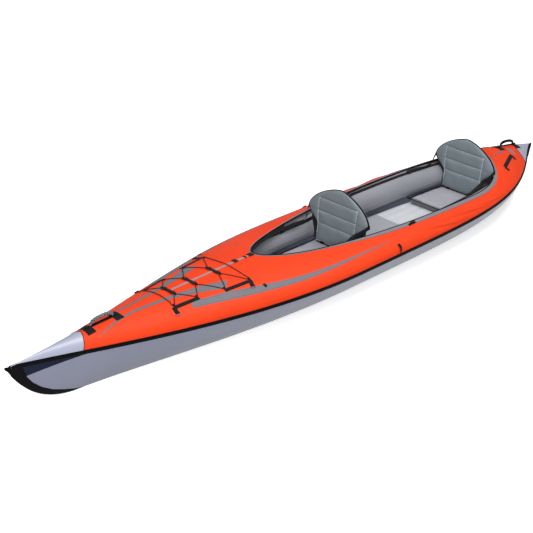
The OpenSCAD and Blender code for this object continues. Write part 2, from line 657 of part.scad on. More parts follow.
panel_t = 3;
panel_share = 0.88;
panel_low = 30;
panel_top = 0.94;
module back_panel(hinge) color([0.2, 0.2, 0.22]) at_hinge(hinge) {
    hs = steps(panel_low, back_h * panel_top, 12);
    side = [for (h = hs) [h, panel_share * back_half(h, foot_w(hinge))]];
    translate([-back_edge_t - gap, 0, 0]) rotate([0, -90, 0]) linear_extrude(panel_t)
        polygon(concat(side, [for (i = [len(side) - 1:-1:0]) [side[i][0], -side[i][1]]]));
}
module front_back_panel() back_panel(front_seat_x);
module rear_back_panel() back_panel(rear_seat_x);

// Side straps from the wings to the buckles on the side tubes: they turn from upright to flat
strap_t = 2;
strap_h = 208;
strap_gap = 0.6;
strap_steps = 8;
strap_end = 10;
buckle_l = 34;
buckle_w = 30;
buckle_t = 5;
buckle_bar = 4;
strap_run = 250;
function buckle_x(hinge) = strap_run - hinge;
buckle_lift = webbing_lift + webbing_t + 3 * gap;
function buckle_place(hinge, lift) = let (x = buckle_x(hinge)) tube_point(x, webbing_angle(x), lift);
function wing_place(hinge) = [
    -hinge - strap_h * sin(back_lean) - back_edge_t / 2,
    back_w / 2 + strap_gap,
    hinge_z + strap_h * cos(back_lean)];
function strap_flat(hinge) = buckle_place(hinge, buckle_lift + buckle_t + strap_gap);
// The strap passes inside the piping at its waist
strap_waist = 90;
waist_in = 46;
waist_drop = 14;
function strap_path(hinge) = let (
    a = wing_place(hinge) + [strap_end, 0, 0],
    b = strap_flat(hinge) - [buckle_l / 2, 0, 0],
    x = strap_waist - hinge,
    c = [x, min(rim_y(x) - waist_in, a[1]), a[2] - waist_drop],
    half = strap_steps / 2)
    concat([a - [2 * strap_end, 0, 0]], places_between(a, c, half), after(places_between(c, b, half)),
        [b + [buckle_l, 0, 0]]);
// Across and off directions of a strap turned by an angle about its length
function strap_row(p, turn, off) = let (
    wide = strap_w / 2 * [0, -sin(turn), cos(turn)],
    thick = off * [0, cos(turn), sin(turn)])
    [p + thick + wide, p + thick - wide];
function strap_turn(hinge, i) = webbing_angle(buckle_x(hinge)) * smooth((i - 1) / strap_steps);
function strap_face(hinge, off) = let (p = strap_path(hinge))
    [for (i = [0:len(p) - 1]) strap_row(p[i], strap_turn(hinge, i), off)];
module side_strap(hinge) color([0.1, 0.1, 0.1]) sheet(strap_face(hinge, strap_t), strap_face(hinge, 0));
module front_port_strap() side_strap(front_seat_x);
module front_starboard_strap() mirror([0, 1, 0]) side_strap(front_seat_x);
module rear_port_strap() side_strap(rear_seat_x);
module rear_starboard_strap() mirror([0, 1, 0]) side_strap(rear_seat_x);

module strap_buckle(hinge) translate(buckle_place(hinge, buckle_lift))
    rotate([webbing_angle(buckle_x(hinge)) - 90, 0, 0]) difference() {
        slot_l = (buckle_l - 3 * buckle_bar) / 2;
        translate([-buckle_l / 2, -buckle_w / 2, 0]) cube([buckle_l, buckle_w, buckle_t]);
        slot_w = buckle_w - 2 * buckle_bar;
        for (s = [-1, 1]) translate([s * (slot_l + buckle_bar) / 2 - slot_l / 2, -slot_w / 2, -1])
            cube([slot_l, slot_w, buckle_t + 2]);
    }
module strap_buckles() color([0.08, 0.08, 0.08]) for (h = [front_seat_x, rear_seat_x], s = [0, 1])
    mirror([0, s, 0]) strap_buckle(h);

// Pieces seated on the deck: local x runs forward, local y outboard to port, local z off the deck

module at_deck(x, y, lift = 0) {
    n = deck_up(x, y);
    translate(on_deck(x, y, lift)) rotate([-asin(n[1]), atan2(n[0], n[2]), 0]) children();
}
module both() for (s = [0, 1]) mirror([0, s, 0]) children();

// Foredeck lacing: the places where the port half of the cord turns, from the bow to the cockpit
cord_turns = [for (q = [[0.41413, 0.52849], [0.37507, 0.23013], [0.32567, 0.50862], [0.28432, 0.19819],
    [0.22458, 0.55150], [0.18093, 0.17344], [0.12349, 0.54152]]) fore_spot(q)];
cord_lift = cord_d / 2 + gap + 0.4;
turn_half = 8;
leg_steps = 3;
cross_steps = 8;
cross_rise = 2.4;
cross_half = 40;
function turn_places(i) = [cord_turns[i] + [turn_half, 0], cord_turns[i] - [turn_half, 0]];
function leg(i) = let (a = turn_places(i)[1], b = turn_places(i + 1)[0])
    [for (k = [1:leg_steps - 1]) a + (b - a) * k / leg_steps];
port_places = flat_list([for (i = [0:len(cord_turns) - 1])
    concat(turn_places(i), i < len(cord_turns) - 1 ? leg(i) : [])]);
function across(i) = let (q = cord_turns[i])
    [for (k = [1:cross_steps - 1]) [q[0], q[1] * (1 - 2 * k / cross_steps)]];
function backwards(l) = [for (i = [len(l) - 1:-1:0]) l[i]];
function flipped(l) = [for (i = [len(l) - 1:-1:0]) [l[i][0], -l[i][1]]];
cord_places = concat(port_places, across(len(cord_turns) - 1), flipped(port_places), backwards(across(0)));
module shock_cord() color([0.07, 0.07, 0.07])
    loft(tube_rings([for (q = cord_places) let (rise = abs(q[1]) < cross_half ? cross_rise : 0)
        on_deck(q[0], q[1], cord_lift + rise)], cord_d / 2, 6, true), true);

// A webbing arch that holds the cord down where it turns
arch_w = 7;
arch_t = 1.5;
arch_half = cord_d / 2 + 3;
arch_h = cord_lift + cord_d / 2 + 1.5;
function arch_row(q, out) = [for (a = steps(180, 0, 6)) let (
    s = (arch_half + out) * cos(a),
    h = gap + (arch_h + out) * sin(a))
    [q[0], q[1] + s, h]];
module cord_arch(q) sheet(
    [for (d = [-arch_w / 2, arch_w / 2]) [for (p = arch_row(q + [d, 0], arch_t)) on_deck(p[0], p[1], p[2])]],
    [for (d = [-arch_w / 2, arch_w / 2]) [for (p = arch_row(q + [d, 0], 0)) on_deck(p[0], p[1], p[2])]]);

// Centre strap, its buckle, and the guides that draw the cord in
deck_strap_w = 14;
deck_strap_off = 12;
deck_strap_from = fore_x(0.36244);
deck_strap_to = opening_front + deck_strap_off;
guide_turns = [1, 3, 5];
guide_w = 18;
module deck_strap() color("silver")
    deck_strip(places_between([deck_strap_to, 0], [deck_strap_from, 0], 12), deck_strap_w, webbing_t);
module cord_guides() color([0.1, 0.1, 0.1]) for (i = guide_turns) {
    q = cord_turns[i];
    end = q[1] - arch_half - arch_t - 1.5;
    deck_strip(places_between([q[0], end], [q[0], -end], 6), guide_w, webbing_t, 2 * gap + webbing_t);
    both() cord_arch(q);
}
deck_buckle_x = fore_x(0.08329);
deck_buckle_l = 28;
deck_buckle_w = 34;
deck_buckle_t = 5;
deck_buckle_bar = 5;
module deck_buckle() color([0.08, 0.08, 0.08])
    at_deck(deck_buckle_x, 0, 2 * gap + webbing_t + gap) difference() {
        slot_l = (deck_buckle_l - 3 * deck_buckle_bar) / 2;
        slot_w = deck_buckle_w - 2 * deck_buckle_bar;
        translate([-deck_buckle_l / 2, -deck_buckle_w / 2, 0])
            cube([deck_buckle_l, deck_buckle_w, deck_buckle_t]);
        for (s = [-1, 1]) translate([s * (slot_l + deck_buckle_bar) / 2 - slot_l / 2, -slot_w / 2, -1])
            cube([slot_l, slot_w, deck_buckle_t + 2]);
    }

// Side anchors of the cord: two webbing bars a side, a tab and a sleeve for each loose ring
anchor_bars = [for (b = [[[0.41872, 0.60305], [0.32223, 0.56804]], [[0.22918, 0.60917], [0.11890, 0.59036]]])
    [for (q = b) fore_spot(q)]];
anchor_w = 14;
ring_places = [for (q = [[0.42332, 0.76802], [0.13613, 0.71059]]) fore_spot(q)];
tab_from = [for (q = [[0.42102, 0.65718], [0.12866, 0.63849]]) fore_spot(q)];
tab_gap = 4;
sleeve_t = 1.4;
sleeve_w = 18;
sleeve_r = ring_wire_d / 2 + pivot_gap + sleeve_t;
function tab_path(i) = let (d = unit(ring_places[i] - tab_from[i]))
    places_between(tab_from[i], ring_places[i] - (sleeve_r + tab_gap) * d, 3);
module cord_anchors() color([0.1, 0.1, 0.1]) {
    for (b = anchor_bars) deck_strip(places_between(b[1], b[0], 6), anchor_w, webbing_t);
    for (i = [0, 2, 4, 6]) cord_arch(cord_turns[i]);
    for (i = [0, 1]) deck_strip(tab_path(i), sleeve_w, webbing_t);
    for (q = ring_places) at_deck(q[0], q[1], gap + sleeve_r) rotate([0, 90, 0])
        translate([0, 0, -sleeve_w / 2]) difference() {
            cylinder(r = sleeve_r, h = sleeve_w);
            translate([0, 0, -1]) cylinder(r = ring_wire_d / 2 + pivot_gap, h = sleeve_w + 2);
        }
}
module port_cord_anchors() cord_anchors();
module starboard_cord_anchors() mirror([0, 1, 0]) cord_anchors();

// A loose ring: a straight side in its sleeve and a half round bow
module loose_ring(q) color([0.15, 0.15, 0.15]) at_deck(q[0], q[1], gap + sleeve_r) {
    bow_r = ring_r + ring_wire_d / 2;
    rotate([0, 90, 0]) translate([0, 0, -bow_r]) cylinder(d = ring_wire_d, h = 2 * bow_r);
    rotate_extrude(angle = 180) translate([bow_r, 0]) circle(d = ring_wire_d);
    for (s = [1, -1]) translate([s * bow_r, 0, 0]) sphere(d = ring_wire_d);
}
module port_fore_ring() loose_ring(ring_places[0]);
module port_aft_ring() loose_ring(ring_places[1]);
module starboard_fore_ring() mirror([0, 1, 0]) loose_ring(ring_places[0]);
module starboard_aft_ring() mirror([0, 1, 0]) loose_ring(ring_places[1]);

// Carry handles: a grip arc between two pivots that turn in webbing sleeves on the ridge
// The bow handle keeps its distance from the bow edge, the stern handle its share of the aft deck
bow_handle_in = 618;
bow_handle_x = half_l - bow_handle_in;
stern_handle_x = aft_x(0.50314);
handle_pin_d = 8;
handle_sleeve_t = 2;
handle_sleeve_l = 22;
handle_sleeve_r = handle_pin_d / 2 + pivot_gap + handle_sleeve_t;
handle_patch = 52;
handle_axis_lift = 2 * gap + webbing_t + handle_sleeve_r + 0.5;
handle_end = handle_l / 2;
handle_sleeve_x = handle_end + handle_d / 2 + 2;
function handle_pitch(x) = let (
    a = deck_z(x - handle_end, 0),
    b = deck_z(x + handle_end, 0)) atan2(a - b, 2 * handle_end);
module at_handle(x) {
    mean_z = (deck_z(x - handle_end, 0) + deck_z(x + handle_end, 0)) / 2;
    translate([x, 0, mean_z + handle_axis_lift]) rotate([0, handle_pitch(x), 0]) children();
}
// The grip bends down into a straight rod whose ends turn in the sleeves
module handle_grip(x) color("dimgray") at_handle(x) {
    top_half = handle_end - handle_rise;
    pin_half = handle_sleeve_x + handle_sleeve_l + 2;
    for (s = [0, 1]) mirror([s, 0, 0]) translate([top_half, 0, 0]) rotate([90, 0, 0])
        rotate_extrude(angle = 90) translate([handle_rise, 0]) circle(d = handle_d);
    translate([-top_half, 0, handle_rise]) rotate([0, 90, 0]) cylinder(d = handle_d, h = 2 * top_half);
    translate([-pin_half, 0, 0]) rotate([0, 90, 0]) cylinder(d = handle_pin_d, h = 2 * pin_half);
}
module handle_base(x) color([0.1, 0.1, 0.1]) {
    at_handle(x) for (s = [1, -1]) translate([s * handle_sleeve_x, 0, 0]) rotate([0, s * 90, 0])
        difference() {
            cylinder(r = handle_sleeve_r, h = handle_sleeve_l);
            translate([0, 0, -1]) cylinder(d = handle_pin_d + 2 * pivot_gap, h = handle_sleeve_l + 2);
        }
    out = handle_sleeve_x + handle_sleeve_l / 2;
    half = [handle_patch / 2, 0];
    for (s = [1, -1]) let (mid = [x + s * out, 0])
        deck_strip(places_between(mid - half, mid + half, 4), handle_patch, webbing_t, gap, 4);
}
module bow_handle_base() handle_base(bow_handle_x);
module stern_handle_base() handle_base(stern_handle_x);
module bow_handle() handle_grip(bow_handle_x);
module stern_handle() handle_grip(stern_handle_x);

// Small loops beside the cockpit, webbing on the stern deck, and side tabs
loop_off = 392;
loop_x = -front_seat_x - loop_off;
loop_out = 16;
gunwale_loop_r = 11;
gunwale_wire_d = 6;
module gunwale_loops() color([0.1, 0.1, 0.1]) both()
    at_deck(loop_x, rim_y(loop_x) + loop_out, gap) rotate([90, 0, 0])
        rotate_extrude(angle = 180) translate([gunwale_loop_r, 0]) circle(d = gunwale_wire_d);

stern_bar = [for (q = [[0.38050, 0.46855], [0.08805, 0.61929]]) aft_spot(q)];
stern_tabs = [for (t = [[[0.39308, 0.55374], [0.40566, 0.66182]], [[0.09119, 0.67593], [0.10377, 0.75905]]])
    [for (q = t) aft_spot(q)]];
module stern_webbing() color([0.1, 0.1, 0.1]) both() {
    deck_strip(places_between(stern_bar[0], stern_bar[1], 6), anchor_w, webbing_t);
    for (t = stern_tabs) deck_strip(places_between(t[0], t[1], 3), anchor_w, webbing_t);
}
mid_tab_off = 143;
mid_tab_shares = [0.87348, 0.97273];
side_tab_places = [
    [for (q = [[0.09592, 0.67241], [0.08903, 0.76802]]) fore_spot(q)],
    [for (s = mid_tab_shares) spot(-front_seat_x - mid_tab_off, s)]];
module side_tabs() color([0.1, 0.1, 0.1]) both() for (t = side_tab_places)
    deck_strip(places_between(t[0], t[1], 6), anchor_w, webbing_t);

// Inflation valves on the side tubes behind the rear seat: local z points out of the tube
valve_off = 88;
valve_x = valve_off - opening_aft;
valve_angle = 144;
valve_lift = 3.7;
valve_wall = 5;
valve_r = valve_bore_r + valve_wall;
valve_floor = 2;
mouth_depth = 12;
plunger_r = 3.5;
plunger_l = 4.5;
cap_t = 4;
cap_r = valve_r - 2.5;
ear_w = 3;
ear_drop = 10;
flange_w = 4;
flange_t = 2;
cap_pin_r = 1.2;
barrel_r = 2.6;
barrel_l = 8;
cap_axis_y = valve_r + barrel_r + 1;
cap_axis_z = valve_h + barrel_r + gap;
module at_valve()
    translate(tube_point(valve_x, valve_angle, valve_lift)) rotate([valve_angle - 90, 0, 0]) children();
module valve_body() color([0.15, 0.15, 0.16]) at_valve() {
    ear_x = barrel_l / 2 + pivot_gap;
    difference() {
        union() {
            cylinder(r = valve_r, h = valve_h);
            cylinder(r = valve_r + flange_w, h = flange_t);
            for (s = [0, 1]) mirror([s, 0, 0]) translate([ear_x, valve_r - 2, valve_h - ear_drop])
                cube([ear_w, 2 * barrel_r + 3, ear_drop + gap + 2 * barrel_r]);
        }
        translate([0, 0, valve_h - mouth_depth]) cylinder(r = valve_bore_r, h = mouth_depth + 1);
        translate([0, 0, valve_floor]) cylinder(r = plunger_r + pivot_gap, h = valve_h);
    }
    translate([-ear_x - ear_w, cap_axis_y, cap_axis_z]) rotate([0, 90, 0])
        cylinder(r = cap_pin_r, h = 2 * (ear_x + ear_w));
}
module valve_cap() color([0.2, 0.2, 0.22]) at_valve() difference() {
    union() {
        translate([0, 0, valve_h + gap]) cylinder(r = cap_r, h = cap_t);
        translate([-barrel_l / 2, cap_r - 3, valve_h + gap]) cube([barrel_l, cap_axis_y - cap_r + 3, cap_t]);
        translate([-barrel_l / 2, cap_axis_y, cap_axis_z]) rotate([0, 90, 0])
            cylinder(r = barrel_r, h = barrel_l);
    }
    translate([-barrel_l / 2 - 1, cap_axis_y, cap_axis_z]) rotate([0, 90, 0])
        cylinder(r = cap_pin_r + pivot_gap, h = barrel_l + 2);
}
module valve_plunger() color("white") at_valve() translate([0, 0, valve_floor + valve_travel + gap])
    cylinder(r = plunger_r, h = plunger_l);
module port_valve() valve_body();
module starboard_valve() mirror([0, 1, 0]) valve_body();
module port_valve_cap() valve_cap();
module starboard_valve_cap() mirror([0, 1, 0]) valve_cap();
module port_valve_plunger() valve_plunger();
module starboard_valve_plunger() mirror([0, 1, 0]) valve_plunger();

hull_skin();
deck_cover();
bow_deck_cap();
stern_deck_cap();
bow_guard();
stern_guard();
bow_edge();
stern_edge();
port_seam_welt();
starboard_seam_welt();
cockpit_piping();
cockpit_zip_tape();
port_main_tube();
starboard_main_tube();
floor_panel();
floor_pad();
bow_rib();
stern_rib();
front_deck_lift();
rear_deck_lift();
port_tube_webbing();
starboard_tube_webbing();
front_seat_cushion();
rear_seat_cushion();
front_seat_loops();
rear_seat_loops();
front_seat_back();
rear_seat_back();
front_back_panel();
rear_back_panel();
front_hinge_rod();
rear_hinge_rod();
front_port_strap();
front_starboard_strap();
rear_port_strap();
rear_starboard_strap();
strap_buckles();
shock_cord();
cord_guides();
port_cord_anchors();
starboard_cord_anchors();
port_fore_ring();
port_aft_ring();
starboard_fore_ring();
starboard_aft_ring();
deck_strap();
deck_buckle();
bow_handle_base();
stern_handle_base();
bow_handle();
stern_handle();
gunwale_loops();
stern_webbing();
side_tabs();
port_valve();
starboard_valve();
port_valve_cap();
starboard_valve_cap();
port_valve_plunger();
starboard_valve_plunger();
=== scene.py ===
# %% [markdown]
# # An inflatable tandem kayak
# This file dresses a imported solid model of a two-seat inflatable kayak. The model gives every piece its place, and
# the pieces made here stand for the soft skins, pads, webbing and cord that a solid can only block out. All lengths
# of the boat's form are written in millimetres and turned into metres when a mesh is made.

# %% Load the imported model
import math

import bmesh
import bpy
import numpy as np
from mathutils import Matrix, Vector, noise


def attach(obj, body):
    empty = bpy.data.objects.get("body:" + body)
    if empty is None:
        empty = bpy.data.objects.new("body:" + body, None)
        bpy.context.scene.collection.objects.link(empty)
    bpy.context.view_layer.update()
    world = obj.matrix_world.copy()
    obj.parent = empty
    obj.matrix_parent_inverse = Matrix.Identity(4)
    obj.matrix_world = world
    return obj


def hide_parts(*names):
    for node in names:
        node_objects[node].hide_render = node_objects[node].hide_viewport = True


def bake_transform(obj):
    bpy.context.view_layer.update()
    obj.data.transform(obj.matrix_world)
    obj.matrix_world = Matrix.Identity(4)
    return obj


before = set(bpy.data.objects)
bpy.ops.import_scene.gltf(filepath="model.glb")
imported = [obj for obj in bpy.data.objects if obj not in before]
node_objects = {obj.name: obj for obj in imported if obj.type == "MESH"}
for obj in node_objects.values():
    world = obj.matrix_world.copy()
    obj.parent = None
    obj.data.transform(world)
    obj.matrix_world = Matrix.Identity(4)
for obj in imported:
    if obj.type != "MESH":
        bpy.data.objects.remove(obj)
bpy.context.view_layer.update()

MM = 0.001

# %% [markdown]
# ## Camera, floor and light
# The view was found by fitting a camera to the boat's outline, so the camera is written as a distance, two angles
# and a small roll about a point on the centre line. It is then turned towards the middle of the picture, which
# keeps the lens unshifted and lets the other views swing round the boat.

# %% Camera
PICTURE = 533
VIEW_AZ, VIEW_EL, VIEW_ROLL = math.radians(130.79), math.radians(25.92), math.radians(3.05)
VIEW_DIST, VIEW_AIM = 8.248, Vector((0, 0, 0.150))
FOCAL_PX = 1359.0
OFF_X, OFF_Y = 48.2, -10.1


def aim_camera():
    """A camera whose picture puts the boat where the fitted view has it."""
    level = math.cos(VIEW_EL)
    back = Vector((math.sin(VIEW_AZ) * level, -math.cos(VIEW_AZ) * level, math.sin(VIEW_EL)))
    right = Vector((math.cos(VIEW_AZ), math.sin(VIEW_AZ), 0))
    up = back.cross(right)
    side = math.cos(VIEW_ROLL) * right + math.sin(VIEW_ROLL) * up
    top = math.cos(VIEW_ROLL) * up - math.sin(VIEW_ROLL) * right
    toward = -back - side * (OFF_X / FOCAL_PX) + top * (OFF_Y / FOCAL_PX)
    axis_z = -toward.normalized()
    axis_x = (side - side.dot(axis_z) * axis_z).normalized()
    axis_y = axis_z.cross(axis_x)
    data = bpy.data.cameras.new("view")
    data.sensor_width = 36
    data.lens = FOCAL_PX / PICTURE * data.sensor_width
    camera = bpy.data.objects.new("view", data)
    place = Matrix((axis_x, axis_y, axis_z)).transposed().to_4x4()
    place.translation = VIEW_AIM + VIEW_DIST * back
    camera.matrix_world = place
    bpy.context.scene.collection.objects.link(camera)
    bpy.context.scene.camera = camera
    return camera


camera = aim_camera()
print("camera at", [round(v, 3) for v in camera.matrix_world.translation])

# %% [markdown]
# A product picture on white has a wide soft light overhead, one from the front that reaches into the cockpit, and an
# even sky. The floor is a pale sheet that runs to the horizon. What the camera and mirrors see of it is lifted
# towards white but still takes the boat's shadow. The light it throws back up at the hull is that of a duller sheet,
# which keeps the hull's underside darker than its shoulder.

# %% Floor and light
scene = bpy.context.scene
scene.view_settings.view_transform = "Standard"
FLOOR_SIZE = 60
WHITE, FLOOR_SEEN, FLOOR_BOUNCE = (1, 1, 1, 1), (0.86, 0.86, 0.86, 1), (0.2, 0.2, 0.21, 1)
FLOOR_GLOW, SKY_LEVEL = 0.55, 0.36


def link(obj):
    bpy.context.scene.collection.objects.link(obj)
    return obj


def node(tree, kind, **values):
    """A new node. A socket is wired to the input of that name, a value set there, or else on the node itself."""
    n = tree.nodes.new(kind)
    for key, value in values.items():
        if isinstance(value, bpy.types.NodeSocket):
            tree.links.new(value, n.inputs[key])
        elif key in n.inputs:
            n.inputs[key].default_value = value
        else:
            setattr(n, key, value)
    return n


def pale_floor():
    mat = bpy.data.materials.new("studio_floor")
    mat.use_nodes = True
    tree = mat.node_tree
    tree.nodes.clear()
    out = node(tree, "ShaderNodeOutputMaterial")
    matte = node(tree, "ShaderNodeBsdfDiffuse", Color=FLOOR_SEEN)
    dull = node(tree, "ShaderNodeBsdfDiffuse", Color=FLOOR_BOUNCE)
    glow = node(tree, "ShaderNodeEmission", Color=WHITE, Strength=FLOOR_GLOW)
    path = node(tree, "ShaderNodeLightPath")
    seen, both = (node(tree, "ShaderNodeMath", operation="MAXIMUM") for _ in range(2))
    add, mix = node(tree, "ShaderNodeAddShader"), node(tree, "ShaderNodeMixShader")
    wires = ((path, "Is Camera Ray", seen, 0), (path, "Is Glossy Ray", seen, 1), (seen, 0, both, 0),
             (path, "Is Transmission Ray", both, 1), (matte, 0, add, 0), (glow, 0, add, 1), (both, 0, mix, "Fac"),
             (dull, 0, mix, 1), (add, 0, mix, 2), (mix, 0, out, "Surface"))
    for start, output, end, entry in wires:
        tree.links.new(start.outputs[output], end.inputs[entry])
    half = FLOOR_SIZE / 2
    mesh = bpy.data.meshes.new("floor")
    mesh.from_pydata([(-half, -half, 0), (half, -half, 0), (half, half, 0), (-half, half, 0)], [], [(0, 1, 2, 3)])
    mesh.materials.append(mat)
    link(bpy.data.objects.new("floor", mesh))


def soft_light(name, place, aim, size, power):
    data = bpy.data.lights.new(name, "AREA")
    data.shape = "RECTANGLE"
    data.size, data.size_y = size
    data.energy = power
    lamp = link(bpy.data.objects.new(name, data))
    lamp.location = place
    lamp.rotation_euler = (Vector(aim) - Vector(place)).to_track_quat("-Z", "Y").to_euler()


pale_floor()
world = bpy.data.worlds.new("studio")
scene.world = world
world.use_nodes = True
sky = world.node_tree.nodes["Background"]
sky.inputs["Color"].default_value = WHITE
sky.inputs["Strength"].default_value = SKY_LEVEL
soft_light("overhead", (-0.6, 1.6, 5.2), (0, 0, 0), (4.5, 2.2), 260)
soft_light("front", (6.0, 4.5, 3.6), (0.4, 0, 0.2), (2.8, 1.8), 400)

# %% [markdown]
# ## The form of the boat
# Every skin, strip and cord lies on one surface, so that surface comes first, as functions of the place along the
# boat. The plan is a power curve that closes to a thin edge at both tips, the side seam and the shoulders follow a
# sheer line that rises late, and each section is a superellipse: round at the bilge, squarer at the shoulder.

# %% Plan, sheer and sections
HALF_L, HALF_B, TIP_T = 2286.0, 403.0, 16.0
SEAM_H, SIDE_H, BOW_H, STERN_H = 199.0, 325.0, 287.0, 295.0
FORE_DECK_H, AFT_DECK_H, BOTTOM_W = 346.0, 385.0, 428.0
BOW_STEM, STERN_STEM = 1740.0, 2000.0
BOW_CAP, STERN_CAP = 1830.0, 2040.0
COCKPIT_FRONT, COCKPIT_AFT, COCKPIT_MID, COCKPIT_W = 545.0, 1650.0, -950.0, 584.0
SKIN_T, SKIN_END, FADE_L, SEAM_GAP = 3.0, 0.985 * HALF_L, 480.0, 0.6


def pick(x, bow, stern):
    return np.where(np.asarray(x, float) > 0, bow, stern)


def along(x):
    return np.minimum(np.abs(x) / HALF_L, 1)


def half_breadth(x):
    return TIP_T / 2 + (HALF_B - TIP_T / 2) * (1 - along(x) ** pick(x, 2, 5.5)) ** pick(x, 1.73, 1.5)


def sheer(x, mid):
    return mid + (pick(x, BOW_H, STERN_H) - mid) * along(x) ** 3.8


def seam_z(x):
    return sheer(x, SEAM_H)


def shoulder_z(x):
    return sheer(x, SIDE_H)


def keel_z(x):
    stem = pick(x, BOW_STEM, STERN_STEM)
    return pick(x, BOW_H, STERN_H) * (np.maximum(0, np.abs(x) - stem) / (HALF_L - stem)) ** 3.2


def flat_y(x):
    return BOTTOM_W / 2 * half_breadth(x) / HALF_B * (1 - along(x) ** 4)


def ridge(x, start, high, power):
    tip = pick(x, BOW_H, STERN_H)
    return tip + (high - tip) * (1 - (np.maximum(0, np.abs(x) - start) / (HALF_L - start)) ** power)


def fade(run):
    return np.maximum(0, 1 - np.maximum(run, 0) / FADE_L) ** 2


def camber(x):
    x = np.asarray(x, float)
    fore = np.where(x >= COCKPIT_FRONT, ridge(x, COCKPIT_FRONT, FORE_DECK_H, 1.8) - shoulder_z(x),
                    (FORE_DECK_H - shoulder_z(COCKPIT_FRONT)) * fade(COCKPIT_FRONT - x))
    aft = np.where(x <= -COCKPIT_AFT, ridge(x, COCKPIT_AFT, AFT_DECK_H, 1.58) - shoulder_z(x),
                   (AFT_DECK_H - shoulder_z(-COCKPIT_AFT)) * fade(x + COCKPIT_AFT))
    return np.maximum(0, np.where(x > (COCKPIT_FRONT - COCKPIT_AFT) / 2, fore, aft))


def deck_power(x):
    return 2.56 + (1.23 - 2.56) * along(x) ** 3


def deck_z(x, y):
    r = np.minimum(np.abs(y) / half_breadth(x), 1)
    e = deck_power(x)
    return seam_z(x) + (shoulder_z(x) - seam_z(x)) * (1 - r ** e) ** (1 / e) + camber(x) * (1 - r ** 1.5)


def on_deck(x, y, lift=0.0):
    """Points on the deck at places x, y, lifted off it along its normal."""
    x, y = np.broadcast_arrays(np.asarray(x, float), np.asarray(y, float))
    n = np.stack([deck_z(x - 1, y) - deck_z(x + 1, y), deck_z(x, y - 1) - deck_z(x, y + 1),
                  np.full(x.shape, 2.0)], -1)
    n /= np.linalg.norm(n, axis=-1, keepdims=True)
    return np.stack([x, y, deck_z(x, y)], -1) + np.asarray(lift, float)[..., None] * n


def rim_y(x):
    x = np.asarray(x, float)
    fore = x > COCKPIT_MID
    u = np.where(fore, (x - COCKPIT_MID) / (COCKPIT_FRONT - COCKPIT_MID),
                 (COCKPIT_MID - x) / (COCKPIT_AFT + COCKPIT_MID))
    u = np.clip(u, 0, 1)
    return COCKPIT_W / 2 * np.maximum(0, 1 - u ** np.where(fore, 2.0, 4.4)) ** 0.55


def deck_point(x, v, edge_y, inset=0.0):
    """v runs from the seam, 0, to the inner edge of the deck, 1."""
    b, e = half_breadth(x), deck_power(x)
    turn = v * np.arccos(np.minimum(edge_y / b, 1) ** (e / 2))
    y = b * np.maximum(np.cos(turn), 0) ** (2 / e)
    top = shoulder_z(x) - seam_z(x) + camber(x)
    rise = (shoulder_z(x) - seam_z(x)) * np.sin(turn) ** (2 / e) + camber(x) * (1 - (y / b) ** 1.5)
    z = seam_z(x) + np.maximum(SEAM_GAP, rise * (1 - inset / top))
    return np.stack(np.broadcast_arrays(x, y * (1 - inset / b), z), -1)


FLAT_V, BILGE = 0.2, 1.38


def hull_point(x, v, inset=0.0):
    """v runs from the keel, 0, to the seam, 1."""
    b, f, depth = half_breadth(x), flat_y(x), seam_z(x) - keel_z(x)
    turn = np.pi / 2 * np.maximum(0, v - FLAT_V) / (1 - FLAT_V)
    flat = v < FLAT_V
    y = np.where(flat, f * v / FLAT_V, f + (b - f) * np.sin(turn) ** (2 / BILGE))
    drop = np.where(flat, depth, depth * np.maximum(np.cos(turn), 0) ** (2 / BILGE))
    z = seam_z(x) - np.maximum(SEAM_GAP, drop * (1 - inset / depth))
    return np.stack(np.broadcast_arrays(x, y * (1 - inset / b), z), -1)


print("breadth amidships:", 2 * half_breadth(0.0))
print("deck at the cockpit's front:", round(float(deck_z(COCKPIT_FRONT, 0.0)), 1))

# %% [markdown]
# ## Making meshes
# Most pieces are sheets with an outer and an inner face, or round tubes along a path. Two small builders make both,
# closed on every side, with a UV map in metres so that weaves keep their scale. A third turns a path into a smooth
# curve. Blender then works out which way is outwards on each closed shell. The boat is the same on both sides, so
# most parts are made once, for port, and mirrored.

# %% Sheets, tubes and smooth paths
SHARP, MIRROR = math.radians(50), np.array([1, -1, 1])


def make_many(name, parts, mat):
    """One piece from closed parts in millimetres: doubles merged, faces outwards, UVs in metres."""
    verts, uvs = (np.concatenate([part[k] for part in parts]) for k in (0, 2))
    starts = np.cumsum([0] + [len(part[0]) for part in parts])
    faces = [[i + start for i in face] for start, part in zip(starts, parts) for face in part[1]]
    mesh = bpy.data.meshes.new(name)
    mesh.from_pydata((verts * MM).tolist(), [], faces)
    layer = mesh.uv_layers.new(name="UVMap")
    index = np.empty(len(mesh.loops), int)
    mesh.loops.foreach_get("vertex_index", index)
    layer.data.foreach_set("uv", np.asarray(uvs, np.float32)[index].ravel())
    bm = bmesh.new()
    bm.from_mesh(mesh)
    bmesh.ops.remove_doubles(bm, verts=bm.verts, dist=1e-6)
    bmesh.ops.dissolve_degenerate(bm, edges=bm.edges, dist=1e-7)
    bmesh.ops.recalc_face_normals(bm, faces=bm.faces)
    bm.to_mesh(mesh)
    bm.free()
    mesh.shade_smooth()
    mesh.set_sharp_from_angle(angle=SHARP)
    mesh.materials.append(mat)
    return link(bpy.data.objects.new(name, mesh))


def dress(piece, body, slot, *nodes):
    """The piece rides on a body and stands for its nodes; slot is not used."""
    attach(piece, body)
    if nodes:
        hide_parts(*nodes)
    return piece


def add_piece(name, parts, mat, slot, *nodes, body="hull"):
    """A piece made and dressed in one go."""
    return dress(make_many(name, parts, mat), body, slot, *nodes)


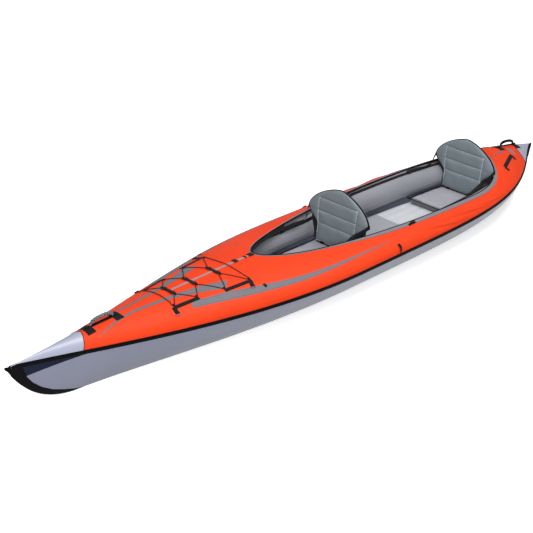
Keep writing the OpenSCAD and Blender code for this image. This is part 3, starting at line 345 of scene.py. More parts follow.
def sheet_parts(outer, inner, open_edges=()):
    """Points, faces and UVs of a closed sheet from two grids of points; open_edges are left without a wall."""
    outer, inner = np.asarray(outer, float), np.asarray(inner, float)
    n, m = outer.shape[:2]
    k = n * m
    at = np.arange(k).reshape(n, m)
    a, b, c, d = at[:-1, :-1], at[:-1, 1:], at[1:, 1:], at[1:, :-1]
    faces = np.stack([a, b, c, d], -1).reshape(-1, 4).tolist()
    faces += (np.stack([a, d, c, b], -1).reshape(-1, 4) + k).tolist()
    edges = {"start": at[0], "end": at[-1], "low": at[:, 0], "high": at[:, -1]}
    for name, e in edges.items():
        if name not in open_edges:
            faces += [[e[i], e[i + 1], e[i + 1] + k, e[i] + k] for i in range(len(e) - 1)]
    run = np.cumsum(np.r_[0, np.linalg.norm(np.diff(outer.mean(1), axis=0), axis=1)])
    wide = np.cumsum(np.concatenate([np.zeros((n, 1)), np.linalg.norm(np.diff(outer, axis=1), axis=2)], 1), 1)
    uv = np.stack([np.repeat(run[:, None], m, 1), wide - wide.mean(1, keepdims=True)], -1).reshape(-1, 2) * MM
    return np.concatenate([outer.reshape(-1, 3), inner.reshape(-1, 3)]), faces, np.concatenate([uv, uv])


def smooth_path(points, count, closed=False):
    """An even Catmull-Rom curve through the points."""
    p = np.asarray(points, float)
    q = np.vstack([p[-1:], p, p[:2]]) if closed else np.vstack([2 * p[0] - p[1], p, 2 * p[-1] - p[-2]])
    out = []
    spans = len(p) if closed else len(p) - 1
    for i in range(spans):
        t = np.linspace(0, 1, 24, endpoint=False)[:, None]
        a, b, c, d = q[i], q[i + 1], q[i + 2], q[i + 3]
        bend, twist = 2 * a - 5 * b + 4 * c - d, 3 * b - a - 3 * c + d
        out.append(0.5 * (2 * b + (c - a) * t + bend * t ** 2 + twist * t ** 3))
    dense = np.vstack(out + [p[:1] if closed else p[-1:]])
    run = np.r_[0, np.cumsum(np.linalg.norm(np.diff(dense, axis=0), axis=1))]
    even = np.linspace(0, run[-1], count + 1 if closed else count)
    path = np.stack([np.interp(even, run, dense[:, k]) for k in range(p.shape[1])], -1)
    return path[:-1] if closed else path


def ring_faces(n, m, closed=False):
    """Faces of n rings of m points, joined ring to ring, with both ends filled unless the rings form a loop."""
    at = np.arange(n * m).reshape(n, m)
    nxt = np.roll(at, -1, 1)
    rows = range(n if closed else n - 1)
    faces = [[at[i, j], nxt[i, j], nxt[(i + 1) % n, j], at[(i + 1) % n, j]] for i in rows for j in range(m)]
    return faces if closed else faces + [list(at[0][::-1]), list(at[-1])]


def tube_parts(path, radius, sides=12, closed=False, up=(0, 0, 1)):
    """Points, faces and UVs of a round tube; radius may be a number or one for each point."""
    p = np.asarray(path, float)
    n = len(p)
    ahead = np.roll(p, -1, 0) if closed else np.vstack([p[1:], p[-1:]])
    behind = np.roll(p, 1, 0) if closed else np.vstack([p[:1], p[:-1]])
    d = ahead - behind
    d /= np.linalg.norm(d, axis=1, keepdims=True)
    s = np.cross(np.asarray(up, float), d)
    s /= np.linalg.norm(s, axis=1, keepdims=True)
    u = np.cross(d, s)
    r = np.broadcast_to(np.asarray(radius, float), (n,))[:, None, None]
    a = np.linspace(0, 2 * np.pi, sides, endpoint=False)
    ring = p[:, None] + r * (np.cos(a)[None, :, None] * s[:, None] + np.sin(a)[None, :, None] * u[:, None])
    run = np.r_[0, np.cumsum(np.linalg.norm(np.diff(p, axis=0), axis=1))]
    mean_r = float(np.mean(r))
    uv = np.stack([np.repeat(run[:, None], sides, 1), np.repeat(a[None] * mean_r, n, 0)], -1).reshape(-1, 2) * MM
    return ring.reshape(-1, 3), ring_faces(n, sides, closed), uv


def mirrored(part):
    v, f, u = part
    return v * MIRROR, [q[::-1] for q in f], u


def both_sides(parts):
    return parts + [mirrored(part) for part in parts]


SIDES = (("port", lambda part: part), ("starboard", mirrored))
print("builders ready")

# %% [markdown]
# ## Materials
# The boat has four kinds of surface. Coated cloth is a fine weave under a thin film, so it gets a weave bump, a
# slow change of tone and a broad sheen. Welded film is smoother and shows soft puckers. Webbing is a coarse weave
# with ribs along its length. Moulded plastic is nearly smooth. All of them are built from textures that Blender
# computes, laid out on each mesh's own UV map in metres or on its own coordinates.

# %% Material builders
FULL_TURN = 6.2832


def srgb(r, g, b):
    """A colour picked from a picture, 0 to 255, as the linear value a shader wants."""
    f = [v / 255 for v in (r, g, b)]
    return tuple(v / 12.92 if v <= 0.04045 else ((v + 0.055) / 1.055) ** 2.4 for v in f) + (1,)


def new_material(name, rough, shine, coords="UV", **values):
    """A material, its tree and shader, and the coordinates it is laid out on."""
    mat = bpy.data.materials.new(name)
    mat.use_nodes = True
    tree = mat.node_tree
    shader = tree.nodes["Principled BSDF"]
    for key, value in {"Roughness": rough, "Specular_IOR_Level": shine, **values}.items():
        shader.inputs[key.replace("_", " ")].default_value = value
    return mat, tree, shader, node(tree, "ShaderNodeTexCoord").outputs[coords]


def two_tones(tree, shader, height, *stops):
    """The base colour between two stops, each a height and a colour."""
    ramp = node(tree, "ShaderNodeValToRGB", Fac=height)
    for stop, (place, colour) in zip(ramp.color_ramp.elements, stops):
        stop.position, stop.color = place, colour
    tree.links.new(ramp.outputs["Color"], shader.inputs["Base Color"])


def spots(tree, source, scale, detail=2.0, **values):
    return node(tree, "ShaderNodeTexNoise", Scale=scale, Detail=detail, Vector=source, **values).outputs["Fac"]


def toned(tree, shader, colour, source, scale, spread):
    """Slow light and dark patches over one colour."""
    dark, light = (tuple(min(1, c * k) for c in colour[:3]) + (1,) for k in (1 - spread, 1 + spread))
    two_tones(tree, shader, spots(tree, source, scale, 3.0, Roughness=0.55), (0.3, dark), (0.7, light))


def bands(tree, source, count, direction):
    """Waves, with the given count in a metre."""
    return node(tree, "ShaderNodeTexWave", Vector=source, Scale=count / FULL_TURN * 2, wave_type="BANDS",
                bands_direction=direction).outputs["Fac"]


def woven(tree, source, threads):
    """Height of a plain weave with the given threads in a metre."""
    both = node(tree, "ShaderNodeMath", operation="MULTIPLY")
    for direction, entry in zip("XY", both.inputs):
        tree.links.new(bands(tree, source, threads, direction), entry)
    return both.outputs[0]


def puckers(tree, source, scale, stretch):
    """Soft creases drawn out along one direction."""
    laid = node(tree, "ShaderNodeMapping", Scale=stretch, Vector=source)
    return spots(tree, laid.outputs["Vector"], scale, Distortion=0.6)


def bumps(tree, shader, *layers):
    """Layers of height on top of each other, each with its distance and strength."""
    below = {}
    for height, distance, strength in layers:
        layer = node(tree, "ShaderNodeBump", Strength=strength, Distance=distance, Height=height, **below)
        below = {"Normal": layer.outputs["Normal"]}
    tree.links.new(below["Normal"], shader.inputs["Normal"])


def cloth(name, colour, rough, crease, sheen, shine=0.4):
    mat, tree, shader, uv = new_material(name, rough, shine, Sheen_Weight=sheen)
    toned(tree, shader, colour, uv, 7.0, 0.05)
    soft = puckers(tree, uv, 9.0, (1.0, 2.4, 1.0))
    bumps(tree, shader, (soft, 0.004, crease), (woven(tree, uv, 1400), 0.0003, 0.35))
    return mat


def film(name, colour, rough, crease, coat=0.15, shine=0.5):
    mat, tree, shader, uv = new_material(name, rough, shine, Coat_Weight=coat, Coat_Roughness=0.3)
    toned(tree, shader, colour, uv, 5.0, 0.04)
    soft = puckers(tree, uv, 14.0, (0.6, 2.0, 1.0))
    bumps(tree, shader, (soft, 0.004, crease), (spots(tree, uv, 900.0), 0.0002, 0.2))
    return mat


def webbing(name, colour, rough=0.75):
    mat, tree, shader, uv = new_material(name, rough, 0.12, Sheen_Weight=0.04)
    toned(tree, shader, colour, uv, 60.0, 0.12)
    bumps(tree, shader, (woven(tree, uv, 620), 0.0008, 0.6))
    return mat


def braid(name, colour, other, pitch):
    """Two colours of yarn crossing in a round cover."""
    mat, tree, shader, uv = new_material(name, 0.6, 0.35)
    turned = node(tree, "ShaderNodeMapping", Rotation=(0, 0, math.radians(45)), Vector=uv).outputs["Vector"]
    squares = node(tree, "ShaderNodeTexChecker", Color1=colour, Color2=other, Scale=pitch, Vector=turned)
    tree.links.new(squares.outputs["Color"], shader.inputs["Base Color"])
    bumps(tree, shader, (woven(tree, turned, pitch * 2), 0.0009, 0.8))
    return mat


def plastic(name, colour, rough=0.4):
    mat, tree, shader, place = new_material(name, rough, 0.5, "Object")
    toned(tree, shader, colour, place, 30.0, 0.04)
    bumps(tree, shader, (spots(tree, place, 1500.0), 0.0001, 0.25))
    return mat


def metal(name, colour, rough=0.35):
    mat, tree, shader, place = new_material(name, rough, 0.5, "Object", Metallic=1)
    toned(tree, shader, colour, place, 20.0, 0.06)
    return mat


def quilted(name, colour, line, pitch):
    """Cloth with slanted rows of dark stitching."""
    mat, tree, shader, uv = new_material(name, 0.75, 0.2)
    rows = bands(tree, uv, pitch, "DIAGONAL")
    two_tones(tree, shader, rows, (0.62, colour), (0.9, line))
    bumps(tree, shader, (rows, 0.002, 0.4))
    return mat


print("builders of cloth, film, webbing, braid, plastic, metal and quilting ready")

# %% The boat's materials
DECK_ORANGE = cloth("deck_orange", srgb(223, 58, 14), 0.58, crease=0.4, sheen=0.0, shine=0.22)
HULL_GREY = film("hull_grey", srgb(122, 126, 145), 0.42, crease=0.25)
CAP_GREY = film("cap_grey", srgb(152, 156, 175), 0.36, crease=0.12, coat=0.12)
BLACK_VINYL = film("black_vinyl", srgb(11, 11, 13), 0.55, crease=0.15, coat=0.0, shine=0.03)
# Navy of the bow patches: partly the panel's own colour and partly painted shade under the welt and the overhanging
# deck.
NAVY_AND_SHADE = film("navy_vinyl_and_shade", srgb(26, 31, 50), 0.5, crease=0.15, coat=0.0, shine=0.05)
BINDING_GREY = cloth("binding_grey", srgb(114, 115, 121), 0.65, crease=0.1, sheen=0.03, shine=0.25)
STRIPE_GREY = cloth("stripe_grey", srgb(106, 105, 111), 0.65, crease=0.15, sheen=0.02, shine=0.25)
BLACK_WEB = webbing("black_webbing", srgb(18, 18, 20))
GREY_WEB = webbing("grey_webbing", srgb(140, 140, 144))
TUBE_GREY = film("tube_grey", srgb(132, 133, 140), 0.46, crease=0.1, coat=0.08)
FLOOR_PALE = film("floor_pale", srgb(191, 194, 198), 0.6, crease=0.2, coat=0.0, shine=0.3)
PAD_GREY = cloth("pad_grey", srgb(150, 150, 158), 0.7, crease=0.5, sheen=0.05, shine=0.25)
SEAT_GREY = cloth("seat_grey_green", srgb(110, 121, 127), 0.72, crease=0.45, sheen=0.12)
SEAT_BLACK = cloth("seat_black", srgb(22, 23, 25), 0.75, crease=0.3, sheen=0.03)
QUILT_DARK = quilted("quilted_edge", srgb(112, 113, 119), srgb(78, 79, 84), 130.0)
PANEL_DARK = plastic("panel_dark", srgb(44, 46, 50), 0.55)
BLACK_PLASTIC = plastic("black_plastic", srgb(22, 22, 24), 0.35)
GREY_PLASTIC = plastic("grey_plastic", srgb(120, 122, 126), 0.4)
WHITE_PLASTIC = plastic("white_plastic", srgb(214, 214, 212), 0.4)
RIB_METAL = metal("rib_metal", srgb(196, 198, 202))
RING_METAL = metal("ring_metal", srgb(92, 92, 96), 0.4)
CORD_BLACK = braid("cord_cover", srgb(20, 20, 22), srgb(44, 44, 47), 900)
GRIP_LIGHT = webbing("grip_light", srgb(140, 142, 148))
THREAD_PALE = webbing("pale_thread", srgb(206, 210, 214), 0.8)
THREAD_DARK = webbing("dark_thread", srgb(58, 58, 62), 0.8)
ZIP_BLACK = plastic("zip_teeth", srgb(34, 34, 36), 0.3)
print("materials:", len(bpy.data.materials))

# %% [markdown]
# ## Hull skin
# The bottom is one skin of heavy film, from the keel up to the side seam. It could be a subdivided cage, but the
# section functions give it exactly, so it is lofted from them as a sheet with a real thickness. The rows crowd
# towards the tips, where the keel sweeps up fastest.

# %% Hull skin
def spread(a, b, n, power=1.0):
    """n places from a to b, crowded towards b when power is above 1."""
    return a + (b - a) * (1 - (1 - np.linspace(0, 1, n)) ** power)


def tip_to_tip(n):
    """Places along the whole hull, crowded towards the tips."""
    half = spread(0, SKIN_END, n, 1.5)
    return np.concatenate([-half[::-1], half[1:]])


def whole(half):
    """Half sections, from the keel out, joined with their mirror images."""
    return np.concatenate([half[:, :0:-1] * MIRROR, half], 1)


hull_x = tip_to_tip(80)
hull_v = np.concatenate([np.linspace(0, FLAT_V, 7)[:-1], np.linspace(FLAT_V, 1, 30)])
hull_rows = [whole(hull_point(hull_x[:, None], hull_v[None], inset)) for inset in (0, SKIN_T)]
hull = add_piece("hull", [sheet_parts(*hull_rows)], HULL_GREY, "hull_skin", "hull_skin")
print("hull faces:", len(hull.data.polygons))

# %% [markdown]
# ## Deck cover
# The deck is coated cloth drawn over the side tubes, open at the cockpit. Each side is a grid that runs from the
# seam to the centre line, or to the cockpit's rim where the deck is open, and the two sides are merged where they
# meet. Cloth pulled over a tube creases along the pull, so low folds are added beside the cockpit, dying out at the
# seam and the rim where it is sewn. The cloth is cut as wide as the girth from seam to seam amidships, and as long
# as the deck between the caps, with some more for their slanting edges.

# %% Deck cover
FOLD_H, FOLD_FROM, FOLD_TO = 4.0, -300.0, -1640.0
CREASES = (((-470, 0.78), (-1020, 0.16), 7.0), ((-640, 0.86), (-1330, 0.3), 6.0),
           ((-1060, 0.7), (-1560, 0.2), 5.0))
CREASE_W, TROUGH_OFF, TROUGH = 0.075, 1.7, 0.6
cockpit_turn = np.linspace(0, np.pi, 121)
cockpit_x = (COCKPIT_FRONT - COCKPIT_AFT) / 2 + (COCKPIT_FRONT + COCKPIT_AFT) / 2 * -np.cos(cockpit_turn)
deck_v = np.linspace(0, 1, 37)
SLANTS = ((1, BOW_CAP, 1500, 22.0, -26.0), (-1, STERN_CAP, 1760, 58.0, -6.0))


def folds(points, v):
    """Low creases beside the cockpit, as a lift off the cloth, each with a shallow trough beside it."""
    x = points[:, 0, 0]
    mask = np.clip((FOLD_FROM - x) / 200, 0, 1) * np.clip((x - FOLD_TO) / 240, 0, 1)
    hem = np.sin(np.pi * np.minimum(1, v * 1.05)) ** 1.5
    out = np.zeros(points.shape[:2])
    for i in np.nonzero(mask)[0]:
        out[i] = [FOLD_H * noise.fractal(Vector((p[0] / 260 + p[1] / 150, p[1] / 420, p[2] / 90)), 1.0, 2.0, 3)
                  for p in points[i]]
    for (x0, v0), (x1, v1), high in CREASES:
        t = np.clip((x - x0) / (x1 - x0), 0, 1)
        d = (v[None] - (v0 + (v1 - v0) * t)[:, None]) / CREASE_W
        wave = np.exp(-d ** 2) - TROUGH * np.exp(-(d + TROUGH_OFF) ** 2)
        out += high * np.sin(np.pi * t)[:, None] ** 0.7 * wave
    return out * mask[:, None] * hem[None]


def slanted(xs, vs):
    """Places near the ends, moved along the boat so that the caps' edges slant from ridge to seam."""
    out = np.repeat(np.asarray(xs, float)[:, None], len(vs), 1)
    for way, cap, fade_from, at_seam, at_ridge in SLANTS:
        x = way * np.asarray(xs, float)
        share = np.where(x < cap, (x - fade_from) / (cap - fade_from), (SKIN_END - x) / (SKIN_END - cap))
        out += (at_seam * (1 - vs) + at_ridge * vs)[None] * np.clip(share, 0, 1)[:, None]
    return out


def deck_half(xs, inset):
    open_here = (xs > -COCKPIT_AFT) & (xs < COCKPIT_FRONT)
    edge = np.where(open_here, rim_y(xs), 0.0)
    grid = deck_point(slanted(xs, deck_v), deck_v[None], edge[:, None], inset)
    out = np.cross(np.gradient(grid, axis=0), np.gradient(grid, axis=1))
    out /= np.maximum(np.linalg.norm(out, axis=-1, keepdims=True), 1e-6)
    return grid + folds(grid, deck_v)[..., None] * out * np.sign(out[..., 2:]), open_here


def deck_parts():
    aft = np.linspace(-STERN_CAP, -COCKPIT_AFT, 26)
    fore = np.linspace(COCKPIT_FRONT, BOW_CAP, 80)
    xs = np.concatenate([aft[:-1], cockpit_x, fore[1:]])
    outer, open_here = deck_half(xs, 0.0)
    inner, _ = deck_half(xs, SKIN_T)
    v, f, u = sheet_parts(outer, inner, open_edges=("high",))
    n, m = outer.shape[:2]
    last = np.arange(n) * m + m - 1
    for i in range(n - 1):
        if open_here[i] or open_here[i + 1]:
            f.append([last[i], last[i + 1], last[i + 1] + n * m, last[i] + n * m])
    u[:, 1] = np.tile((np.arange(m) / (m - 1) * 0.5)[None], (2 * n, 1)).ravel()
    return v, f, u


deck = add_piece("deck", both_sides([deck_parts()]), DECK_ORANGE, "deck_fabric", "deck_cover")
girth = deck_point(np.array([[0.0]]), deck_v[None], 0.0, 0.0)[0]

# %% [markdown]
# ## Deck caps and tips
# Each end of the deck is a pale, shinier cap. The two caps use the same section as the deck, closed across the
# centre line, and a thin black cord lies in the seam where cap and deck meet. The tips beyond them are hard wedges
# that both skins are bonded to.

# %% Deck caps
CAP_GAP, CAP_SEAM_R = 0.8, 1.8


def cap_rows(xs, inset):
    half = deck_point(slanted(xs, deck_v), deck_v[None], 0.0, inset)
    return np.concatenate([half, half[:, -2::-1] * MIRROR], 1)


for name, first, last in (("bow", BOW_CAP + CAP_GAP, SKIN_END), ("stern", -STERN_CAP - CAP_GAP, -SKIN_END)):
    xs = spread(first, last, 40, 1.6)
    cap = sheet_parts(cap_rows(xs, 0.0), cap_rows(xs, SKIN_T))
    add_piece(name + "_cap", [cap], CAP_GREY, "cap_film", name + "_deck_cap")
    seam = tube_parts(cap_rows(xs[:1], -CAP_GAP)[0][1:-1], CAP_SEAM_R, sides=8, up=(1, 0, 0))
    add_piece(name + "_cap_seam", [seam], BLACK_VINYL, "black_vinyl")
print("caps made")

# %% Tip wedges
TIP_TALL, TIP_ROUND = 24.0, 0.45


def tip_ring(x, high, low, wide, turns=28):
    a = np.linspace(0, 2 * np.pi, turns, endpoint=False)
    c, s = np.cos(a), np.sin(a)
    mid, half = (high + low) / 2, (high - low) / 2
    y = wide * np.sign(c) * np.abs(c) ** 0.8
    return np.stack([np.full(turns, x), y, mid + half * np.sign(s) * np.abs(s) ** 0.8], -1)


def tip_parts(end):
    """A wedge from the skin's end to the tip, rounded off at its very end."""
    xs = np.linspace(SKIN_END + 0.6, HALF_L, 14) * end
    rings = []
    for k, x in enumerate(xs):
        b = float(half_breadth(x))
        high, low = float(deck_z(x, 0.0)) - 0.5, float(keel_z(x)) + 0.5
        round_off = 1 - TIP_ROUND * (k / (len(xs) - 1)) ** 8
        mid = (high + low) / 2
        tall = max(TIP_TALL * round_off, high - low) / 2
        rings.append(tip_ring(x, min(mid + tall, high + 4), mid - tall, max(b * 0.95, 8.0) * round_off))
    grid = np.array(rings)
    return grid.reshape(-1, 3), ring_faces(*grid.shape[:2]), grid.reshape(-1, 3)[:, [0, 2]] * MM


for name, end in (("bow", 1), ("stern", -1)):
    add_piece(name + "_tip", [tip_parts(end)], BLACK_VINYL, "black_vinyl", name + "_edge")
print("tips made")

# %% [markdown]
# ## Stem guards and seam welts
# A black wear guard wraps each stem. Seen from the side its inner edge is a hollow curve, deep at the tip and thin
# where it runs out along the keel, so that edge is drawn as a height for each place and the guard is the part of
# the hull's surface below it. Behind it at the bow a dark navy patch of the same kind lies between a line on the
# hull and the seam. Its dark is partly the panel's own navy and partly painted shade under the welt and the
# overhanging deck. The welt is a rounded strip that covers the side seam from tip to tip.

# %% Stem guards
GUARD_OUT, GUARD_IN = 4.2, 0.3
BOW_EDGE_LINE = ((1820, 2), (1862, 10), (1933, 32), (2009, 61), (2076, 102), (2129, 150), (2165, 198), (2180, 240),
                 (2190, 264), (2252, 279))
STERN_EDGE_LINE = ((2040, 3), (2080, 18), (2130, 62), (2190, 150), (2252, 262))


def v_at_height(x, z):
    """The place round the hull's section that lies at a height."""
    depth = seam_z(x) - keel_z(x)
    drop = np.clip((seam_z(x) - z) / depth, 0, 1)
    return FLAT_V + (1 - FLAT_V) * np.arccos(drop ** (BILGE / 2)) / (np.pi / 2)


def off_hull(xs, v, off):
    """Points on the port side of the hull, moved out by off."""
    flat = hull_point(xs[:, None], v, 0.0)
    return flat + (hull_point(xs[:, None], v, -1.0) - flat) * off


def guard_rows(xs, line, off):
    top = np.interp(np.abs(xs), *np.array(line, float).T)
    top = np.maximum(top, keel_z(xs) + 2)
    last = v_at_height(xs, top)
    u = np.concatenate([np.linspace(0, 0.3, 6)[:-1], np.linspace(0.3, 1, 22)])
    v = u[None] * last[:, None]
    room = np.minimum(off, keel_z(xs) + 0.4)
    return whole(off_hull(xs, v, room[:, None, None]))


for name, line, end in (("bow", BOW_EDGE_LINE, 1), ("stern", STERN_EDGE_LINE, -1)):
    xs = end * spread(line[0][0], SKIN_END, 60, 1.4)
    guard = sheet_parts(guard_rows(xs, line, GUARD_OUT), guard_rows(xs, line, GUARD_IN))
    add_piece(name + "_guard", [guard], BLACK_VINYL, "black_vinyl", name + "_guard")
print("guards made")

# %% Bow navy panels, partly painted shade
# Lower edge of the dark patch at the bow. The patch is partly a navy panel and partly painted shade under the welt
# and the overhanging deck.
NAVY_SHADE_LINE = ((1826, 226), (2158, 203), (2202, 203))
PANEL_END, PANEL_OUT, PANEL_IN = 2196, 1.2, 0.2


def bow_navy_shade_rows(off):
    xs = np.linspace(NAVY_SHADE_LINE[0][0], PANEL_END, 50)
    low = v_at_height(xs, np.interp(xs, *np.array(NAVY_SHADE_LINE, float).T))
    high = v_at_height(xs, seam_z(xs) - 6)
    v = low[:, None] + (high - low)[:, None] * np.linspace(0, 1, 10)[None]
    return off_hull(xs, v, off)


side_part = sheet_parts(bow_navy_shade_rows(PANEL_OUT), bow_navy_shade_rows(PANEL_IN))
add_piece("bow_side_panels", both_sides([side_part]), NAVY_AND_SHADE, "hull_skin")
print("bow side panels made")

# %% Seam welts
WELT_H, WELT_OFF, WELT_T, WELT_FOOT = 24.0, 2.0, 3.0, 1.4


def deck_y_at(x, high):
    """Where the deck lies a little above the seam, found by halving."""
    low, top = np.zeros_like(x), np.ones_like(x)
    for _ in range(22):
        v = (low + top) / 2
        over = deck_point(x, v, 0.0)[..., 2] - seam_z(x) > high
        top, low = np.where(over, v, top), np.where(over, low, v)
    return deck_point(x, low, 0.0)[..., 1]


def welt_rows(xs, crown):
    """A strip across the seam, from the deck down to the hull, rounded off at its edges."""
    rows = []
    up = np.minimum(WELT_H / 2, 0.8 * (deck_z(xs, 0.0) - seam_z(xs)))
    down = np.minimum(WELT_H / 2, 0.8 * (seam_z(xs) - keel_z(xs)))
    for s in np.linspace(1, -1, 13):
        h = np.where(s > 0, s * up, s * down)
        if s > 0:
            y = deck_y_at(xs, h)
        else:
            depth, f = seam_z(xs) - keel_z(xs), flat_y(xs)
            turn = np.arccos(np.clip(-h / depth, 0, 1) ** (BILGE / 2))
            y = f + (half_breadth(xs) - f) * np.sin(turn) ** (2 / BILGE)
        off = WELT_OFF - WELT_FOOT + crown * (WELT_FOOT + WELT_T * (1 - s ** 4) ** 0.5)
        rows.append(np.stack([xs, y + off, seam_z(xs) + h], -1))
    return np.stack(rows, 1)


welt_x = tip_to_tip(100)
welt_part = sheet_parts(welt_rows(welt_x, 1.0), welt_rows(welt_x, 0.0))
for side, flip in SIDES:
    add_piece(side + "_welt", [flip(welt_part)], BLACK_VINYL, "black_vinyl", side + "_seam_welt")
print("welts made")

# %% [markdown]
# ## Cockpit edge
# The opening is edged with a black piping, a round tube along the rim. A grey binding outside it sews the piping to
# the deck, and is widest beside the seats. Inside the front half hangs one side of a zip for a spray cover. Its teeth
# repeat evenly along a path, which is the natural job for Geometry Nodes: one tooth, copied to points on a curve.

# %% Rim path and piping
PIPING_D = 11.0
BAND_FORE, BAND_MORE, BAND_FROM, BAND_RUN = 7, 17, 150, 450
BAND_TOP, BAND_UNDER = 3.9, -1.0


def rim_path(count):
    side = np.stack([cockpit_x, rim_y(cockpit_x)], -1)
    ring = np.concatenate([side[::-1], side[1:-1] * np.array([1, -1])])
    return smooth_path(ring, count, closed=True)


rim = rim_path(420)
rim_ahead = np.roll(rim, -1, 0) - np.roll(rim, 1, 0)
rim_in = np.stack([-rim_ahead[:, 1], rim_ahead[:, 0]], -1) / np.linalg.norm(rim_ahead, axis=1, keepdims=True)


def rim_points(inward, lift):
    q = rim + inward * rim_in
    z = deck_z(rim[:, 0], np.abs(rim[:, 1])) - SKIN_T / 2 + lift
    return np.concatenate([q, z[:, None]], 1)


piping_path = rim_points(PIPING_D / 2 - 1, PIPING_D / 2 - 1)
piping_part = tube_parts(piping_path, PIPING_D / 2 - 1.5, sides=14, closed=True)
add_piece("piping", [piping_part], BLACK_VINYL, "black_vinyl", "cockpit_piping")
band_w = BAND_FORE + BAND_MORE * np.clip((BAND_FROM - rim[:, 0]) / BAND_RUN, 0, 1)


def binding_rows(lift):
    rows = [on_deck(*(rim - (band_w * s - 2)[:, None] * rim_in).T, lift) for s in np.linspace(0, 1, 5)]
    grid = np.stack(rows, 1)
    return np.concatenate([grid, grid[:1]])


binding_part = sheet_parts(binding_rows(BAND_TOP), binding_rows(BAND_UNDER), open_edges=("start", "end"))
add_piece("rim_binding", [binding_part], BINDING_GREY, "tube_film")
print("piping and binding made")

# %% Geometry Nodes: copies along a path
def copies_on_paths(name, paths, spacing, cell, mat):
    """A small mesh copied along paths at an even spacing, turned along each path, as one plain mesh."""
    curve = bpy.data.curves.new(name + "_paths", "CURVE")
    curve.dimensions = "3D"
    for path in paths:
        spline = curve.splines.new("POLY")
        spline.points.add(len(path) - 1)
        co = np.concatenate([np.asarray(path) * MM, np.ones((len(path), 1))], 1)
        spline.points.foreach_set("co", co.ravel())
    holder = link(bpy.data.objects.new(name + "_holder", curve))
    cell_object = link(bpy.data.objects.new(name + "_cell", cell))
    group = bpy.data.node_groups.new(name + "_nodes", "GeometryNodeTree")
    group.interface.new_socket("Geometry", in_out="INPUT", socket_type="NodeSocketGeometry")
    gap_socket = group.interface.new_socket("Spacing", in_out="INPUT", socket_type="NodeSocketFloat")
    group.interface.new_socket("Geometry", in_out="OUTPUT", socket_type="NodeSocketGeometry")
    start = node(group, "NodeGroupInput").outputs
    points = node(group, "GeometryNodeCurveToPoints", mode="LENGTH", Curve=start["Geometry"],
                  Length=start["Spacing"]).outputs
    info = node(group, "GeometryNodeObjectInfo", Object=cell_object).outputs
    place = node(group, "GeometryNodeInstanceOnPoints", Points=points["Points"], Rotation=points["Rotation"],
                 Instance=info["Geometry"]).outputs
    real = node(group, "GeometryNodeRealizeInstances", Geometry=place["Instances"]).outputs
    paint = node(group, "GeometryNodeSetMaterial", Material=mat, Geometry=real["Geometry"]).outputs
    node(group, "NodeGroupOutput", Geometry=paint["Geometry"])
    modifier = holder.modifiers.new("copies", "NODES")
    modifier.node_group = group
    modifier[gap_socket.identifier] = spacing * MM
    bpy.context.view_layer.update()
    mesh = bpy.data.meshes.new_from_object(holder.evaluated_get(bpy.context.evaluated_depsgraph_get()))
    bpy.data.objects.remove(holder)
    bpy.data.objects.remove(cell_object)
    mesh.shade_smooth()
    return link(bpy.data.objects.new(name, mesh))


def capsule_cell(length, radius, sides=5):
    """A stitch: a short rounded rod along the path."""
    stations = ((-0.5, 0.35), (-0.3, 1.0), (0.3, 1.0), (0.5, 0.35))
    a = np.linspace(0, 2 * np.pi, sides, endpoint=False)
    verts = [(radius * k * math.cos(t), radius * k * math.sin(t), length * s) for s, k in stations for t in a]
    mesh = bpy.data.meshes.new("stitch")
    mesh.from_pydata((np.array(verts) * MM).tolist(), [], ring_faces(len(stations), sides))
    return mesh


def stitched(name, paths, body, slot, mat, spacing, length, radius):
    """Rows of stitches along paths, as one dressed piece."""
    return dress(copies_on_paths(name, paths, spacing, capsule_cell(length, radius), mat), body, slot)


print("copying along paths ready")

# %% Zip tape and teeth
ZIP_FROM, ZIP_IN, ZIP_TOP, ZIP_W, ZIP_T = 60, PIPING_D / 2 + 0.3, -1.6, 26.0, 1.4
TOOTH, TOOTH_ROUND, TOOTH_GAP = (0.0026, 0.0042, 0.0024), 0.0005, 4.2
zip_at = [i for i in range(len(rim)) if rim[i, 0] > ZIP_FROM]
cut = next((k for k in range(1, len(zip_at)) if zip_at[k] != zip_at[k - 1] + 1), 0)
zip_at = zip_at[cut:] + zip_at[:cut]


def zip_rows(inward):
    return np.stack([rim_points(inward, ZIP_TOP - d)[zip_at] for d in np.linspace(0, ZIP_W, 5)], 1)


zip_part = sheet_parts(zip_rows(ZIP_IN + ZIP_T), zip_rows(ZIP_IN))
add_piece("zip_tape", [zip_part], BLACK_WEB, "webbing", "cockpit_zip_tape")
tooth = bpy.data.meshes.new("tooth")
bm = bmesh.new()
bmesh.ops.create_cube(bm, size=1, matrix=Matrix.Diagonal((*TOOTH, 1)))
bmesh.ops.bevel(bm, geom=bm.edges, offset=TOOTH_ROUND, segments=1, affect="EDGES")
bm.to_mesh(tooth)
bm.free()
zip_line = rim_points(ZIP_IN + 2.6, ZIP_TOP - ZIP_W + 3)[zip_at]
teeth = copies_on_paths("zip_teeth", [zip_line], TOOTH_GAP, tooth, ZIP_BLACK)
dress(teeth, "hull", "webbing")
print("zip teeth faces:", len(teeth.data.polygons))

# %% [markdown]
# ## Air chambers
# Two side tubes carry the boat. Each is a round tube whose thickness follows the boat's breadth, domed at its ends,
# with a welded seam along the inside. The floor is a flat chamber whose faces are tied together lengthwise, so its
# top is a row of long rounded ridges. Two short tubes across the boat hold up the deck at the cockpit's ends.

# %% Side tubes
TUBE_D, TUBE_Z = 190.0, 198.0
TUBE_FORE, TUBE_AFT, DOME_FORE, DOME_AFT = 1740.0, -2020.0, 40, 60
TUBE_GAP, TUBE_SHARE, TUBE_SHEER = 16.0, 0.34, 0.2


def tube_r(x):
    return ((TUBE_D / 2) ** -4 + (TUBE_SHARE * half_breadth(x)) ** -4) ** -0.25


